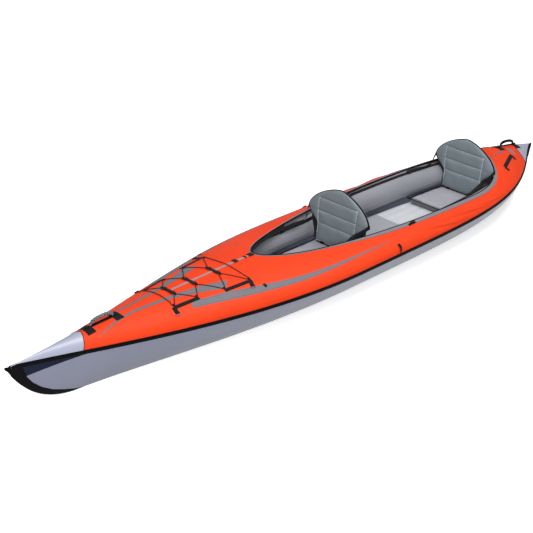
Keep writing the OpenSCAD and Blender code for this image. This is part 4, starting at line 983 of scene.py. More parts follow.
def tube_mid(x):
    """How far out and how high the port tube's centre line runs."""
    return half_breadth(x) - SKIN_T - TUBE_GAP - tube_r(x), TUBE_Z + TUBE_SHEER * (seam_z(x) - SEAM_H)


def tube_point(x, angle, lift=0.0):
    """A point on the port tube; the angle is 90 on top and 180 inboard."""
    a, r = np.radians(angle), tube_r(x) + lift
    y, z = tube_mid(x)
    return np.stack(np.broadcast_arrays(x, y + r * np.cos(a), z + r * np.sin(a)), -1)


def tube_skin():
    """The port tube with domed ends, its film a little uneven above and below."""
    xs = np.concatenate([spread(0, TUBE_AFT, 70, 1.3)[::-1], spread(0, TUBE_FORE, 70, 1.3)[1:]])
    angles = np.linspace(0, 360, 48, endpoint=False)
    dome = np.minimum(1, np.minimum((TUBE_FORE - xs) / DOME_FORE, (xs - TUBE_AFT) / DOME_AFT))
    shrink = 1 - (1 - np.sqrt(np.clip(1 - (1 - dome) ** 2, 0, 1))) * 0.75
    mid = tube_point(xs, 0.0, -tube_r(xs))
    ring = tube_point(xs[:, None], angles[None], -1.0) - mid[:, None]
    ring = mid[:, None] + ring * shrink[:, None, None]
    pull = np.array([noise.fractal(Vector((x / 190, a / 55, 3.0)), 1.0, 2.0, 2) for x in xs for a in angles])
    pull = pull.reshape(len(xs), len(angles)) * (1.0 - np.abs(np.cos(np.radians(angles)))[None] * 0.5)
    ring += (ring - mid[:, None]) * (pull[:, :, None] - 0.6) * 0.008
    n, m = ring.shape[:2]
    uv = np.stack([np.repeat(xs[:, None], m, 1), np.repeat(angles[None] * 1.6, n, 0)], -1).reshape(-1, 2) * MM
    return ring.reshape(-1, 3), ring_faces(n, m), uv


tube_part = tube_skin()
for side, flip in SIDES:
    add_piece(side + "_tube", [flip(tube_part)], TUBE_GREY, "tube_film", side + "_main_tube")
print("side tubes made")

# %% Webbing line and weld strip along the tubes
def smooth01(u):
    c = np.clip(u, 0, 1)
    return c * c * (3 - 2 * c)


def webbing_angle(x):
    """The webbing lies inboard at the front seat and climbs to the top of the tube farther aft."""
    return 106 + 32 * smooth01((x + 700) / 600)


def tube_strip(ends, angle_at, width, low, high):
    """A strip along the port tube, centred on an angle that may change on the way."""
    xs = np.linspace(*ends, 120)
    turn = np.degrees(width / 2 / tube_r(xs))
    a = angle_at(xs)[:, None] + np.linspace(-1, 1, 5)[None] * turn[:, None]
    return sheet_parts(tube_point(xs[:, None], a, high), tube_point(xs[:, None], a, low))


LINE_ENDS, WELD_ENDS, WELD_ANGLE = (420, -1500), (1000, -1800), 186
line_part = tube_strip(LINE_ENDS, webbing_angle, 20.0, 0.5, 2.7)
weld_part = tube_strip(WELD_ENDS, lambda x: WELD_ANGLE + 0 * x, 14.0, -1.0, 1.0)
for side, flip in SIDES:
    add_piece(side + "_tube_line", [flip(line_part)], BLACK_WEB, "webbing", side + "_tube_webbing")
    add_piece(side + "_tube_weld", [flip(weld_part)], TUBE_GREY, "tube_film")
print("tube strips made")

# %% Air floor
FLOOR_LOW, FLOOR_T, FLOOR_W = 3.4, 88.0, 398.0
FLOOR_FORE, FLOOR_AFT, FLOOR_ROUND = 1240.0, -1880.0, 60
FLOOR_TOP, FLOOR_SPREAD, BEAMS, RIDGE_H = FLOOR_LOW + FLOOR_T, 1.36, 7, 2.6


def floor_rows():
    """Upper and lower face of the floor, rounded off all round; the lower one is narrower, as the hull is."""
    xs = np.concatenate([[FLOOR_FORE], np.linspace(FLOOR_FORE - 8, FLOOR_AFT + 8, 90), [FLOOR_AFT]])
    ends = np.minimum(1, np.minimum(FLOOR_FORE - xs, xs - FLOOR_AFT) / FLOOR_ROUND)
    swell = np.sqrt(np.clip(1 - (1 - ends) ** 2, 0.02, 1))
    w = FLOOR_W / BOTTOM_W * flat_y(xs) * FLOOR_SPREAD
    s = np.linspace(-1, 1, BEAMS * 8 + 1)
    ridge_h = RIDGE_H * (np.abs(np.sin(np.pi * BEAMS * (s + 1) / 2)) ** 0.7 - 1)
    side = np.clip((1 - np.abs(s)) / 0.16, 0, 1)
    drop = (1 - np.sqrt(np.clip(1 - (1 - side) ** 2, 0, 1))) * FLOOR_T / 2
    mid = FLOOR_LOW + FLOOR_T / 2
    top = FLOOR_TOP + ridge_h - drop - 0.4
    low = FLOOR_LOW + drop + 0.2
    narrow = 1 - 0.26 * np.clip((0.5 - (low - FLOOR_LOW) / FLOOR_T) * 2, 0, 1)
    x = np.repeat(xs[:, None], len(s), 1)
    return [np.stack([x, w[:, None] * across[None], mid + (face - mid)[None] * swell[:, None]], -1)
            for across, face in ((s, top), (s * narrow, low))]


air_floor = add_piece("air_floor", [sheet_parts(*floor_rows())], FLOOR_PALE, "floor_film", "floor_panel")
print("air floor faces:", len(air_floor.data.polygons))

# %% Deck lifts
LIFT_R, LIFT_ROUND = 30, 24
for name, x, half, sink in (("front", 610.0, 140.0, 1.5), ("rear", -1720.0, 110.0, 3.0)):
    y = np.linspace(-half, half, 40)
    path = np.stack([np.full(40, x), y, deck_z(x, y) - SKIN_T - sink - LIFT_R], -1)
    round_off = np.sqrt(np.clip(1 - (1 - np.minimum(1, (half - np.abs(y)) / LIFT_ROUND)) ** 2, 0.04, 1))
    lift = tube_parts(path, LIFT_R * round_off, sides=24, up=(1, 0, 0))
    add_piece(name + "_lift", [lift], TUBE_GREY, "tube_film", name + "_deck_lift")
print("deck lifts made")

# %% [markdown]
# ## Cushions and floor pad
# A cushion is foam in a sewn cover, drawn in along its seams and full between them. Its start is a slightly small
# block that follows the side tubes. It is remeshed into even cells and blown up for a few frames as cloth under
# pressure, which gives the swell and the small puckers of a stuffed cover. How far a point may move is capped, and
# nothing may sink below the floor. A thin piping is laid on afterwards, and the front edge gets a quilted cover.

# %% Soft blocks
CUSHION_LOW, CUSHION_T, CUSHION_L, CUSHION_W = 91.8, 48.0, 372.0, 392.0
CUSHION_BEHIND, FRONT_SEAT, REAR_SEAT = 68.0, 178.0, 1464.0
PAD_T, PAD_AFT, PAD_ROUND, PAD_SHRINK = 36.0, 815.0, 16, 4.0
VOXEL, SIM_FRAMES, SIM_CAP, PRESSURE = 0.006, 20, 9.0, 4.0
SEATS = (("front", FRONT_SEAT), ("rear", REAR_SEAT))


def tube_inner_y(x, z):
    """How far from the centre line the port tube's inner side is at a height."""
    y, tube_z = tube_mid(x)
    return y - np.sqrt(np.maximum(tube_r(x) ** 2 - (z - tube_z) ** 2, 0))


def cushion_half(x):
    return np.minimum(CUSHION_W / 2, tube_inner_y(x, CUSHION_LOW + CUSHION_T) - 6)


def block_rows(fore, aft, t):
    """Upper and lower grids of a block with rounded edges, a little smaller than the finished pad."""
    fore, aft = fore - PAD_SHRINK, aft + PAD_SHRINK
    xs = np.linspace(fore, aft, 44)
    s = np.linspace(-1, 1, 45)
    w = cushion_half(xs) - PAD_SHRINK
    end = np.minimum(1, np.minimum(fore - xs, xs - aft) / PAD_ROUND)
    side = np.minimum(1, (1 - np.abs(s))[None] * w[:, None] / PAD_ROUND)
    edge = np.minimum(end[:, None], side)
    full = 0.45 + 0.55 * np.sqrt(np.clip(1 - (1 - edge) ** 2, 0, 1))
    mid, half = CUSHION_LOW + t / 2, t / 2 - PAD_SHRINK / 2
    x = np.repeat(xs[:, None], len(s), 1)
    y = w[:, None] * s[None]
    return np.stack([x, y, mid + half * full], -1), np.stack([x, y, mid - half * full], -1)


def places(mesh):
    co = np.empty(len(mesh.vertices) * 3)
    mesh.vertices.foreach_get("co", co)
    return co.reshape(-1, 3)


def evaluated(piece):
    return bpy.data.meshes.new_from_object(piece.evaluated_get(bpy.context.evaluated_depsgraph_get()))


def box_uv(mesh):
    """UVs in metres, laid flat along the axis each face looks along most."""
    layer = mesh.uv_layers.new(name="UVMap") if not mesh.uv_layers else mesh.uv_layers[0]
    co = places(mesh)
    axes = ((1, 2), (0, 2), (0, 1))
    for face in mesh.polygons:
        a, b = axes[int(np.argmax(np.abs(face.normal)))]
        for k in face.loop_indices:
            p = co[mesh.loops[k].vertex_index]
            layer.data[k].uv = (p[a], p[b])


def blown_up(piece):
    """Remeshed, then swollen as cloth under pressure; movement is capped and the floor is kept clear."""
    remesh = piece.modifiers.new("cells", "REMESH")
    remesh.mode = "VOXEL"
    remesh.voxel_size = VOXEL
    bpy.context.view_layer.update()
    even = evaluated(piece)
    piece.modifiers.clear()
    mat = piece.data.materials[0]
    piece.data = even
    cloth_sim = piece.modifiers.new("swell", "CLOTH")
    cloth_sim.settings.quality = 5
    cloth_sim.settings.mass = 0.3
    cloth_sim.settings.use_pressure = True
    cloth_sim.settings.uniform_pressure_force = PRESSURE
    cloth_sim.settings.effector_weights.gravity = 0
    cloth_sim.point_cache.frame_start = 1
    cloth_sim.point_cache.frame_end = SIM_FRAMES
    for k in range(1, SIM_FRAMES + 1):
        scene.frame_set(k)
    swollen = evaluated(piece)
    piece.modifiers.clear()
    scene.frame_set(1)
    start = places(even)
    move = places(swollen) - start
    far = np.linalg.norm(move, axis=1, keepdims=True)
    move *= np.minimum(1, SIM_CAP * MM / np.maximum(far, 1e-9))
    end = start + move
    end[:, 2] = np.maximum(end[:, 2], CUSHION_LOW * MM)
    swollen.vertices.foreach_set("co", end.ravel())
    piece.data = swollen
    piece.data.materials.clear()
    piece.data.materials.append(mat)
    piece.data.shade_smooth()
    box_uv(piece.data)
    return piece


print("cells of", VOXEL * 1000, "mm, blown up over", SIM_FRAMES, "frames")

# %% The two cushions and the pad
CORNER, PIPING_DOWN, PIPING_IN, PIPING_R = 9, 9, 1.5, 2.6


def soft_block(name, fore, aft, t, solid):
    """A padded piece that stands for one solid."""
    pad = blown_up(make_many(name, [sheet_parts(*block_rows(fore, aft, t))], PAD_GREY))
    dress(pad, "hull", "seat_pad", solid)
    return pad


def edge_ring(fore, aft):
    """A path round a cushion below its top edge, corners rounded."""
    xs = np.linspace(fore - PIPING_IN, aft + PIPING_IN, 40)
    w = cushion_half(xs) - PIPING_IN
    w[[0, -1]] -= CORNER
    side = np.stack([xs, w, np.full(len(xs), CUSHION_LOW + CUSHION_T - PIPING_DOWN)], -1)
    return smooth_path(np.concatenate([side, side[::-1] * MIRROR]), 260, closed=True)


for name, hinge in SEATS:
    fore, aft = CUSHION_L - CUSHION_BEHIND - hinge, -CUSHION_BEHIND - hinge
    cushion = soft_block(name + "_cushion", fore, aft, CUSHION_T, name + "_seat_cushion")
    cushion.data.materials.append(QUILT_DARK)
    for face in cushion.data.polygons:
        face.material_index = int(face.normal[0] > 0.7 and face.center[0] > (fore - 30) * MM)
    edging = tube_parts(edge_ring(fore, aft), PIPING_R, sides=8, closed=True)
    add_piece(name + "_cushion_piping", [edging], BLACK_VINYL, "black_vinyl")
pad = soft_block("mid_pad", -FRONT_SEAT - CUSHION_BEHIND - 4, -PAD_AFT, PAD_T, "floor_pad")
print("cushions and pad made:", len(pad.data.vertices), "points in the pad")

# %% [markdown]
# ## Seat backs
# A seat back is quilted foam: one soft panel, pinched along sewn lines and full between them. A cloth run would lose
# the crisp quilting, so its thickness is written as a function of the place on the panel instead. Black gussets fill
# the hollows under the wings, a black piping runs round the edge, and pale thread follows each sewn line.

# %% Seat back form
HINGE_Z, BACK_LEAN = 148.35, math.radians(6)
BACK_H, BACK_W, FOOT_W, BACK_T, BACK_LOW, EDGE_T = 372.0, 474.0, 304.0, 34.0, 9.35, 12.0
WING_FROM, WING_H = 112.0, 215.0
CHANNELS, SEAM_FOOT, SEAM_TOP = (0.34, 0.55, 0.77), 141.0, 154.0
PINCH, RIPPLE, CLOSES, BACK_TOP = 0.38, 0.8, 0.86, 0.9985
FLAP_LOW, FLAP_HIGH, FLAP_FOOT, FLAP_INSET = 16, 226, 178, 197


def back_half(h):
    wing = FOOT_W / 2 + (BACK_W - FOOT_W) / 2 * smooth01((h - WING_FROM) / (WING_H - WING_FROM))
    u = np.clip((h - WING_H) / (BACK_H - WING_H), 0, 1)
    return np.where(h < WING_H, wing, BACK_W / 2 * np.maximum(1 - u ** 1.7, 0) ** 0.7)


def dips(d, width):
    return np.exp(-np.abs(d / width) ** 1.3)


def seam_y(h):
    """How far from the centre line the upright sewn line runs."""
    return SEAM_FOOT + (SEAM_TOP - SEAM_FOOT) * h / BACK_H


def seam_depth(u, h):
    """How much of the foam is pinched at a place, 0 to 1."""
    past = np.abs(u) * back_half(h) - seam_y(h)
    across = sum(dips(h - c * BACK_H, 9.0) for c in CHANNELS) * np.where(past < 4, 1.0, 0.25)
    upright = dips(past, 8.0) * (h > 0.16 * BACK_H) * (h < 0.8 * BACK_H)
    return np.clip(np.maximum(across, upright), 0, 1)


def back_thick(u, h):
    v = (h - BACK_LOW) / (BACK_H - BACK_LOW)
    edge = np.maximum(np.abs(u), np.abs(2 * v - 1))
    full = (BACK_T - EDGE_T) * np.sqrt(np.maximum(1 - edge ** 6, 0))
    return EDGE_T + full * (1 - PINCH * seam_depth(u, h)) + RIPPLE * np.sin(u * 9 + h / 31) * (1 - edge ** 4)


def at_hinge(hinge, p):
    """Local points, x forward and z up from the hinge, leaned back and put in place."""
    c, s = math.cos(BACK_LEAN), math.sin(BACK_LEAN)
    x, y, z = np.moveaxis(p, -1, 0)
    return np.stack([-hinge + x * c - z * s, y, HINGE_Z + x * s + z * c], -1)


def back_front(u, h, lift=0.0):
    u, h = np.broadcast_arrays(np.asarray(u, float), np.asarray(h, float))
    return np.stack([back_thick(u, h) - EDGE_T + lift, u * back_half(h), h], -1)


def back_heights(low, below, above):
    """Heights from low to the top of the back, crowded where the outline closes."""
    return np.concatenate([np.linspace(low, CLOSES * BACK_H, below),
                           spread(CLOSES * BACK_H, BACK_TOP * BACK_H, above, 2.2)[1:]])


back_h = back_heights(BACK_LOW, 100, 34)
back_u = np.sin(np.linspace(-np.pi / 2, np.pi / 2, 73))


def flap_part(hinge, k):
    """A black gusset that fills the hollow between the wing and the foot, behind the front face."""
    hs = np.linspace(FLAP_LOW, FLAP_HIGH, 30)
    inner = back_half(hs) - 14
    outer = FLAP_FOOT + (BACK_W / 2 - FLAP_INSET) * smooth01((hs - FLAP_LOW) / 150)
    t = np.linspace(0, 1, 6)[None]
    y = k * (inner[:, None] * (1 - t) + np.maximum(outer, inner + 4)[:, None] * t)
    x = -6 - 5 * t + 0 * y
    h = np.repeat(hs[:, None], 6, 1)
    return sheet_parts(at_hinge(hinge, np.stack([x, y, h], -1)), at_hinge(hinge, np.stack([x - 2, y, h], -1)))


print("seat back grid:", len(back_h), "x", len(back_u))

# %% Seat backs, piping and stitching
def make_back(name, hinge):
    """The quilted back with its piping, gussets and thread; its rear face is black."""
    body = name + "_seat"
    front = back_front(back_u[None], back_h[:, None])
    rear = np.stack([np.full(front.shape[:2], -EDGE_T), front[..., 1], front[..., 2]], -1)
    part = sheet_parts(at_hinge(hinge, front), at_hinge(hinge, rear))
    piece = make_many(name + "_back", [part], SEAT_GREY)
    piece.data.materials.append(SEAT_BLACK)
    c, s = math.cos(BACK_LEAN), math.sin(BACK_LEAN)
    for face in piece.data.polygons:
        x, z = face.center[0] / MM + hinge, face.center[2] / MM - HINGE_Z
        face.material_index = int(x * c + z * s < -EDGE_T + 0.5)
    dress(piece, body, "seat_fabric", name + "_seat_back")
    hs = back_heights(14, 60, 20)
    side = np.stack([np.full(len(hs), -1.0), back_half(hs) + 1.5, hs], -1)
    edge_path = smooth_path(at_hinge(hinge, np.concatenate([side, (side * MIRROR)[::-1]])), 240)
    edging = tube_parts(edge_path, 5.0, sides=10, up=(1, 0, 0.1))
    add_piece(name + "_back_piping", [edging], BLACK_VINYL, "black_vinyl", body=body)
    flaps = [flap_part(hinge, k) for k in (1, -1)]
    add_piece(name + "_side_flaps", flaps, SEAT_BLACK, "seat_fabric", body=body)
    across, rows = np.linspace(-1, 1, 60), (-2.2, 2.2)
    lines = []
    for h in np.array(CHANNELS) * BACK_H:
        u = across * seam_y(h) / back_half(h)
        lines += [at_hinge(hinge, back_front(u, h + d, 0.5)) for d in rows]
    hs = np.linspace(0.17 * BACK_H, 0.79 * BACK_H, 60)
    for k in (1, -1):
        lines += [at_hinge(hinge, back_front(k * (seam_y(hs) + d) / back_half(hs), hs, 0.5)) for d in rows]
    stitched(name + "_back_stitches", lines, body, "seat_fabric", THREAD_PALE, spacing=6.5, length=5.6, radius=1.1)
    return piece


for name, hinge in SEATS:
    back = make_back(name, hinge)
    print(back.name, len(back.data.polygons), "faces")

# %% [markdown]
# ## Side straps
# A strap runs from each wing to a buckle on the side tube. It stands upright at the seat and lies flat on the tube,
# so it is a ribbon that turns along its length. Its two ends sit on things that move apart when the seat folds.

# %% Side straps
STRAP_W, STRAP_T, STRAP_H, STRAP_END, STRAP_RUN = 25.0, 2.0, 208.0, 10.0, 250.0
STRAP_AHEAD, STRAP_IN, STRAP_DROP = 60.0, 46, 50
BUCKLE_L, BUCKLE_LIFT, BUCKLE_T = 34.0, 3.9, 5.0


def strap_rows(hinge, off):
    """One face of the port strap, and its two ends: a at the wing, b at the buckle; it sags to c between them."""
    bx = STRAP_RUN - hinge
    flat = tube_point(np.float64(bx), webbing_angle(np.float64(bx)), BUCKLE_LIFT + BUCKLE_T + 0.6)
    a = np.array([-hinge - STRAP_H * math.sin(BACK_LEAN) - EDGE_T / 2 + STRAP_END, BACK_W / 2 + 0.6,
                  HINGE_Z + STRAP_H * math.cos(BACK_LEAN)])
    b = flat - np.array([BUCKLE_L / 2, 0, 0])
    x = STRAP_AHEAD - hinge
    c = np.array([x, min(float(rim_y(x)) - STRAP_IN, a[1]), a[2] - STRAP_DROP])
    knots = [a - [2 * STRAP_END, 0, 0], a, a + (c - a) * 0.5 + [0, 0, -3], c,
             c + (b - c) * 0.5, b, b + [BUCKLE_L, 0, 0]]
    path = smooth_path(knots, 70)
    run = np.linspace(0, 1, 70)
    turn = np.radians(float(webbing_angle(bx))) * smooth01((run - 0.06) / 0.84)
    wide = STRAP_W / 2 * np.stack([0 * turn, -np.sin(turn), np.cos(turn)], -1)
    thick = off * np.stack([0 * turn, np.cos(turn), np.sin(turn)], -1)
    return np.stack([path + thick + wide * k for k in (1, 0.5, 0, -0.5, -1)], 1), a, b


for name, hinge in SEATS:
    upper, a, b = strap_rows(hinge, STRAP_T)
    part = sheet_parts(upper, strap_rows(hinge, 0.0)[0])
    for (side, flip), k in zip(SIDES, (1, -1)):
        strap = make_many(name + "_" + side + "_strap", [flip(part)], BLACK_WEB)
        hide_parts(name + "_" + side + "_strap")
        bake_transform(strap)
print("straps made")

# %% [markdown]
# ## Sewn panels
# The pale shapes on the deck are separate pieces of cloth sewn on. Each is drawn as two edge lines over the deck and
# filled between them with a thin sheet that follows the cloth below, then stitched round its edge.

# %% Stripes and swooshes
def panel_rows(edges, across, lift):
    """A grid over the deck between two edge lines."""
    a, b = (smooth_path(edge, 90) for edge in edges)
    t = np.linspace(0, 1, across)[None, :, None]
    xy = a[:, None] * (1 - t) + b[:, None] * t
    return on_deck(xy[..., 0], xy[..., 1], lift)


SIDE_STRIPE = (((1157, 147), (1060, 167), (940, 192), (744, 247), (500, 300), (200, 330), (-280, 340)),
               ((1188, 179), (980, 233), (778, 281), (500, 331), (200, 349), (-280, 344)))
FORE_SWOOSH = (((1740, 74), (1620, 53), (1506, 43), (1370, 52), (1237, 71), (1080, 115), (926, 168)),
               ((1740, 72), (1620, 41), (1506, 25), (1370, 31), (1237, 44), (1050, 72), (867, 119)))
STERN_SWOOSH = (((-1650, 79), (-1704, 75), (-1754, 70), (-1823, 64), (-1860, 60)),
                ((-1650, 77), (-1704, 69), (-1754, 61), (-1820, 49), (-1856, 41)))
panel_parts, panel_stitches = [], []
for edges in (SIDE_STRIPE, FORE_SWOOSH, STERN_SWOOSH):
    panel_parts += both_sides([sheet_parts(panel_rows(edges, 7, 1.1), panel_rows(edges, 7, 0.1))])
    grid = panel_rows(edges, 21, 1.5)
    for line in (grid[:, 2], grid[:, -3]):
        panel_stitches += [line, line * MIRROR]
add_piece("sewn_panels", panel_parts, STRIPE_GREY, "grey_webbing")
stitched("panel_stitches", panel_stitches, "hull", "grey_webbing", THREAD_DARK, 6.5, 4.2, 0.45)
print("sewn panels:", len(panel_parts))

# %% [markdown]
# ## Webbing on the deck
# Every bar, tab and patch is a strip that lies on the deck, so one function makes them all: a path on the deck, a
# width and a thickness, with slightly rounded edges. Sewn ends carry a box of stitches with a cross in it. The
# stitches are small rods copied along those lines.

# %% Deck strips
WEB_T = 2.0


def strip_part(places, width, thick=WEB_T, lift=0.4, count=24, across=7, rise=0.0):
    """A strip along places on the deck, its edges rounded off, standing up as a loop where it has a rise."""
    q = smooth_path(places, count)
    d = np.gradient(q, axis=0)
    d /= np.linalg.norm(d, axis=1, keepdims=True)
    side = np.stack([-d[:, 1], d[:, 0]], -1)
    s = np.linspace(-1, 1, across)
    xy = q[:, None] + side[:, None] * (s * width / 2)[None, :, None]
    low = lift + rise * np.sin(np.linspace(0, np.pi, count))[:, None] ** 0.7 + 0 * s[None]
    crown = thick * (0.55 + 0.45 * np.sqrt(np.clip(1 - s ** 6, 0, 1)))
    return sheet_parts(on_deck(xy[..., 0], xy[..., 1], low + crown[None]), on_deck(xy[..., 0], xy[..., 1], low))


def deck_line(points, lift):
    q = smooth_path(points, 12)
    return on_deck(q[:, 0], q[:, 1], lift)


def box_lines(mid, ahead, half_l, half_w, lift):
    """A stitched box with a cross, about a place on the deck."""
    mid, ahead = np.asarray(mid, float), np.asarray(ahead, float) / np.linalg.norm(ahead)
    side = np.array([-ahead[1], ahead[0]])
    k = [mid + ahead * a * half_l + side * b * half_w for a, b in ((1, 1), (1, -1), (-1, -1), (-1, 1))]
    pairs = ((0, 1), (1, 2), (2, 3), (3, 0), (0, 2), (1, 3))
    return [deck_line([k[i], k[j]], lift) for i, j in pairs]


def both_lines(lines):
    return lines + [line * MIRROR for line in lines]


deck_stitches = []
print("strips are", WEB_T, "mm thick")

# %% Cord arches, anchors and guides
CORD_D = 5.0
CORD_LIFT = CORD_D / 2 + 0.8
ARCH_W, ARCH_T, ARCH_HALF = 9.0, 1.5, CORD_D / 2 + 3
ARCH_H = CORD_LIFT + CORD_D / 2 + 1.5
CORD_TURNS = ((1266, 115), (1198, 54), (1112, 130), (1040, 54), (936, 163), (860, 54), (760, 179))


def arch_part(q):
    """A webbing loop over the cord where it turns."""
    a = np.radians(np.linspace(180, 0, 15))
    ds = np.linspace(-ARCH_W / 2, ARCH_W / 2, 4)

    def rows(out):
        y = q[1] + (ARCH_HALF + out) * np.cos(a)
        h = 0.4 + (ARCH_H + out) * np.sin(a)
        return np.stack([on_deck(np.full(len(a), q[0] + d), y, h) for d in ds])
    return sheet_parts(rows(ARCH_T), rows(0.0))


BAR_W, TAB_W, GUIDE_W, FOLD_W = 23.0, 26.0, 24.0, 29.0
ANCHOR_BARS = (((1274, 130), (1106, 146)), ((944, 179), (752, 196)))
RING_PLACES, TAB_FROM = ((1282, 164), (782, 232)), ((1278, 141), (769, 210))
anchor_parts = [strip_part((b, a), BAR_W) for a, b in ANCHOR_BARS]
anchor_parts += [arch_part(CORD_TURNS[i]) for i in (0, 2, 4, 6)]
for start, ring in zip(TAB_FROM, RING_PLACES):
    way = np.subtract(ring, start)
    way = way / np.linalg.norm(way)
    anchor_parts.append(strip_part((start - 14 * way, ring - 3 * way), TAB_W))
    deck_stitches += box_lines(start + 6 * way, way, 5, 10, 2.8)
for a, b in ANCHOR_BARS:
    a, b = np.array(a, float), np.array(b, float)
    for t in (0.08, 0.5, 0.92):
        deck_stitches += box_lines(a + (b - a) * t, b - a, 10, 5, 2.8)


def deck_axes(x, y):
    """The deck's normal at a place, and the way ahead along the deck."""
    n = on_deck(x, y, 1.0) - on_deck(x, y, 0.0)
    return n, np.array([n[2], 0, -n[0]]) / math.hypot(n[0], n[2])


SLEEVE_R, SLEEVE_BORE, SLEEVE_HALF = 3.55, 2.2, 12


def sleeve_part(q):
    """The small sleeve each loose ring turns in."""
    n, ahead = deck_axes(*q)
    mid = on_deck(*q, 0.4 + SLEEVE_R)
    side = np.cross(n, ahead)
    a = np.radians(np.linspace(-20, 320, 25))

    def rows(r):
        ring = [r * (math.cos(t) * side + math.sin(t) * n) for t in a]
        return np.stack([[mid + ahead * s + p for p in ring] for s in np.linspace(-SLEEVE_HALF, SLEEVE_HALF, 4)])
    return sheet_parts(rows(SLEEVE_R), rows(SLEEVE_BORE))


anchor_parts += [sleeve_part(q) for q in RING_PLACES]
for side, flip in SIDES:
    parts = [flip(part) for part in anchor_parts]
    add_piece(side + "_anchors", parts, BLACK_WEB, "webbing", side + "_cord_anchors")

guide_parts = []
for i in (1, 3, 5):
    x, y = CORD_TURNS[i]
    end = y - ARCH_HALF - ARCH_T - 1.5
    guide_parts.append(strip_part(((x, end), (x, 0), (x, -end)), GUIDE_W, lift=0.8 + WEB_T))
    deck_stitches += box_lines((x, 0), (0, 1), 6, 5.5, 5.2)
    for k in (1, -1):
        guide_parts.append(strip_part(((x, k * (end - 22)), (x, k * (end + 1))), FOLD_W, lift=0.9 + 2 * WEB_T))
        deck_stitches += box_lines((x, k * (end - 10)), (0, 1), 8, 6, 7.2)
    guide_parts += both_sides([arch_part((x, y))])
add_piece("cord_guides", guide_parts, BLACK_WEB, "webbing", "cord_guides")
print("anchor pieces:", len(anchor_parts), "guide pieces:", len(guide_parts))

# %% Centre strap, stern webbing and side tabs
STRAP_PATH = ((557, 0), (760, 0), (960, 0), (1176, 0))
STRAP_TABS = (((549, 0), (584, 0), 34.0), ((604, 0), (616, 0), 26.0))
STERN_BAR, STERN_W = ((-1890, 101), (-1690, 188)), 25.0
STERN_TABS = (((-1886, 104), (-1884, 140)), ((-1690, 188), (-1704, 217)))
SIDE_TABS = (((712, 250), (713, 273), 15.0, 5.0), ((-322, 376), (-328, 402), 18.0, 8.5))
TAB_ROOT = ((702, 205), (708, 232), (712, 256))
add_piece("deck_strap", [strip_part(STRAP_PATH, 14.0, count=90)], GREY_WEB, "grey_webbing", "deck_strap")
strap_tabs = [strip_part((a, b), wide, lift=1.0 + WEB_T) for a, b, wide in STRAP_TABS]
add_piece("strap_end_tabs", strap_tabs, BLACK_WEB, "webbing")
stern_parts = both_sides([strip_part(path, STERN_W) for path in (STERN_BAR, *STERN_TABS)])
add_piece("stern_webbing", stern_parts, BLACK_WEB, "webbing", "stern_webbing")
side_tabs = both_sides([strip_part((a, b), wide, rise=rise) for a, b, wide, rise in SIDE_TABS])
add_piece("side_tabs", side_tabs, BLACK_WEB, "webbing", "side_tabs")
tab_roots = both_sides([strip_part(TAB_ROOT, 15.0, thick=1.2)])
add_piece("side_tab_roots", tab_roots, DECK_ORANGE, "deck_fabric")
for t in STERN_TABS:
    mid = (np.array(t[0], float) + np.array(t[1])) / 2
    deck_stitches += box_lines(mid, np.subtract(t[1], t[0]), 6, 5, 2.8)
print("strips made")

# %% [markdown]
# ## Shock cord
# The foredeck lacing is one closed loop of elastic cord. It zigzags from arch to arch along each side and crosses the
# centre line at both ends. Its path is the row of turns, rounded, on the deck, and it is a round tube with a braided
# cover. A closed loop has no free end, so it isn't a hanging cord. Its length is measured along the path.

# %% Shock cord
TURN_HALF, OVER_STRAP = 8, 2.4


def lacing():
    """The cord's path: aft along the port turns, across, forward on starboard and back, lifted at the centre line."""
    port = []
    for i, (x, y) in enumerate(CORD_TURNS):
        port += [(x + TURN_HALF, y), (x, y), (x - TURN_HALF, y)]
        if i < len(CORD_TURNS) - 1:
            nx, ny = CORD_TURNS[i + 1]
            a, b = np.array([x - TURN_HALF, y], float), np.array([nx + TURN_HALF, ny], float)
            port += [tuple(a + (b - a) * t) for t in (0.33, 0.67)]
    last, first = CORD_TURNS[-1], CORD_TURNS[0]
    cross = [(last[0] - 3, last[1] * (1 - 2 * k / 8)) for k in range(1, 8)]
    back = [(first[0] + 3, -first[1] * (1 - 2 * k / 8)) for k in range(1, 8)]
    star = [(x, -y) for x, y in port[::-1]]
    q = smooth_path(port + cross + star + back, 900, closed=True)
    rise = OVER_STRAP * smooth01((46 - np.abs(q[:, 1])) / 12)
    return on_deck(q[:, 0], q[:, 1], CORD_LIFT + rise)


cord_path = lacing()
cord_part = tube_parts(cord_path, CORD_D / 2, sides=8, closed=True)
add_piece("shock_cord", [cord_part], CORD_BLACK, "cord", "shock_cord")
cord_length = np.linalg.norm(np.diff(np.vstack([cord_path, cord_path[:1]]), axis=0), axis=1).sum()
print("shock cord length:", round(cord_length), "mm")

# %% [markdown]
# ## Carry handles
# Each handle is a braided grip between two stubs that turn in sewn sleeves. The braid is real geometry: yarns wound
# both ways round the grip, each one a thin tube that goes over and under the ones that cross it. The grip is drawn in
# at its ends, so that it clears the patches under the sleeves when it lies over. These are sewn down with a box and a
# cross. A thin strip runs along the ridge of the bow below the handle.

# %% Handle grips
HANDLE_HALF, HANDLE_RISE, HANDLE_R, PIN_R = 75.0, 29.0, 9.0, 4.0
SLEEVE_X, SLEEVE_L, HANDLE_LIFT = 84.5, 22.0, 9.45
GRIP_END_R, GRIP_ENDS = 5.4, 0.16
STRANDS, TURNS, YARN_R, YARN_IN, YARN_WAVE = 6, 5, 1.4, 0.9, 0.5
HANDLES = (("bow", 1668.0, GRIP_LIGHT), ("stern", -1970.0, BLACK_WEB))


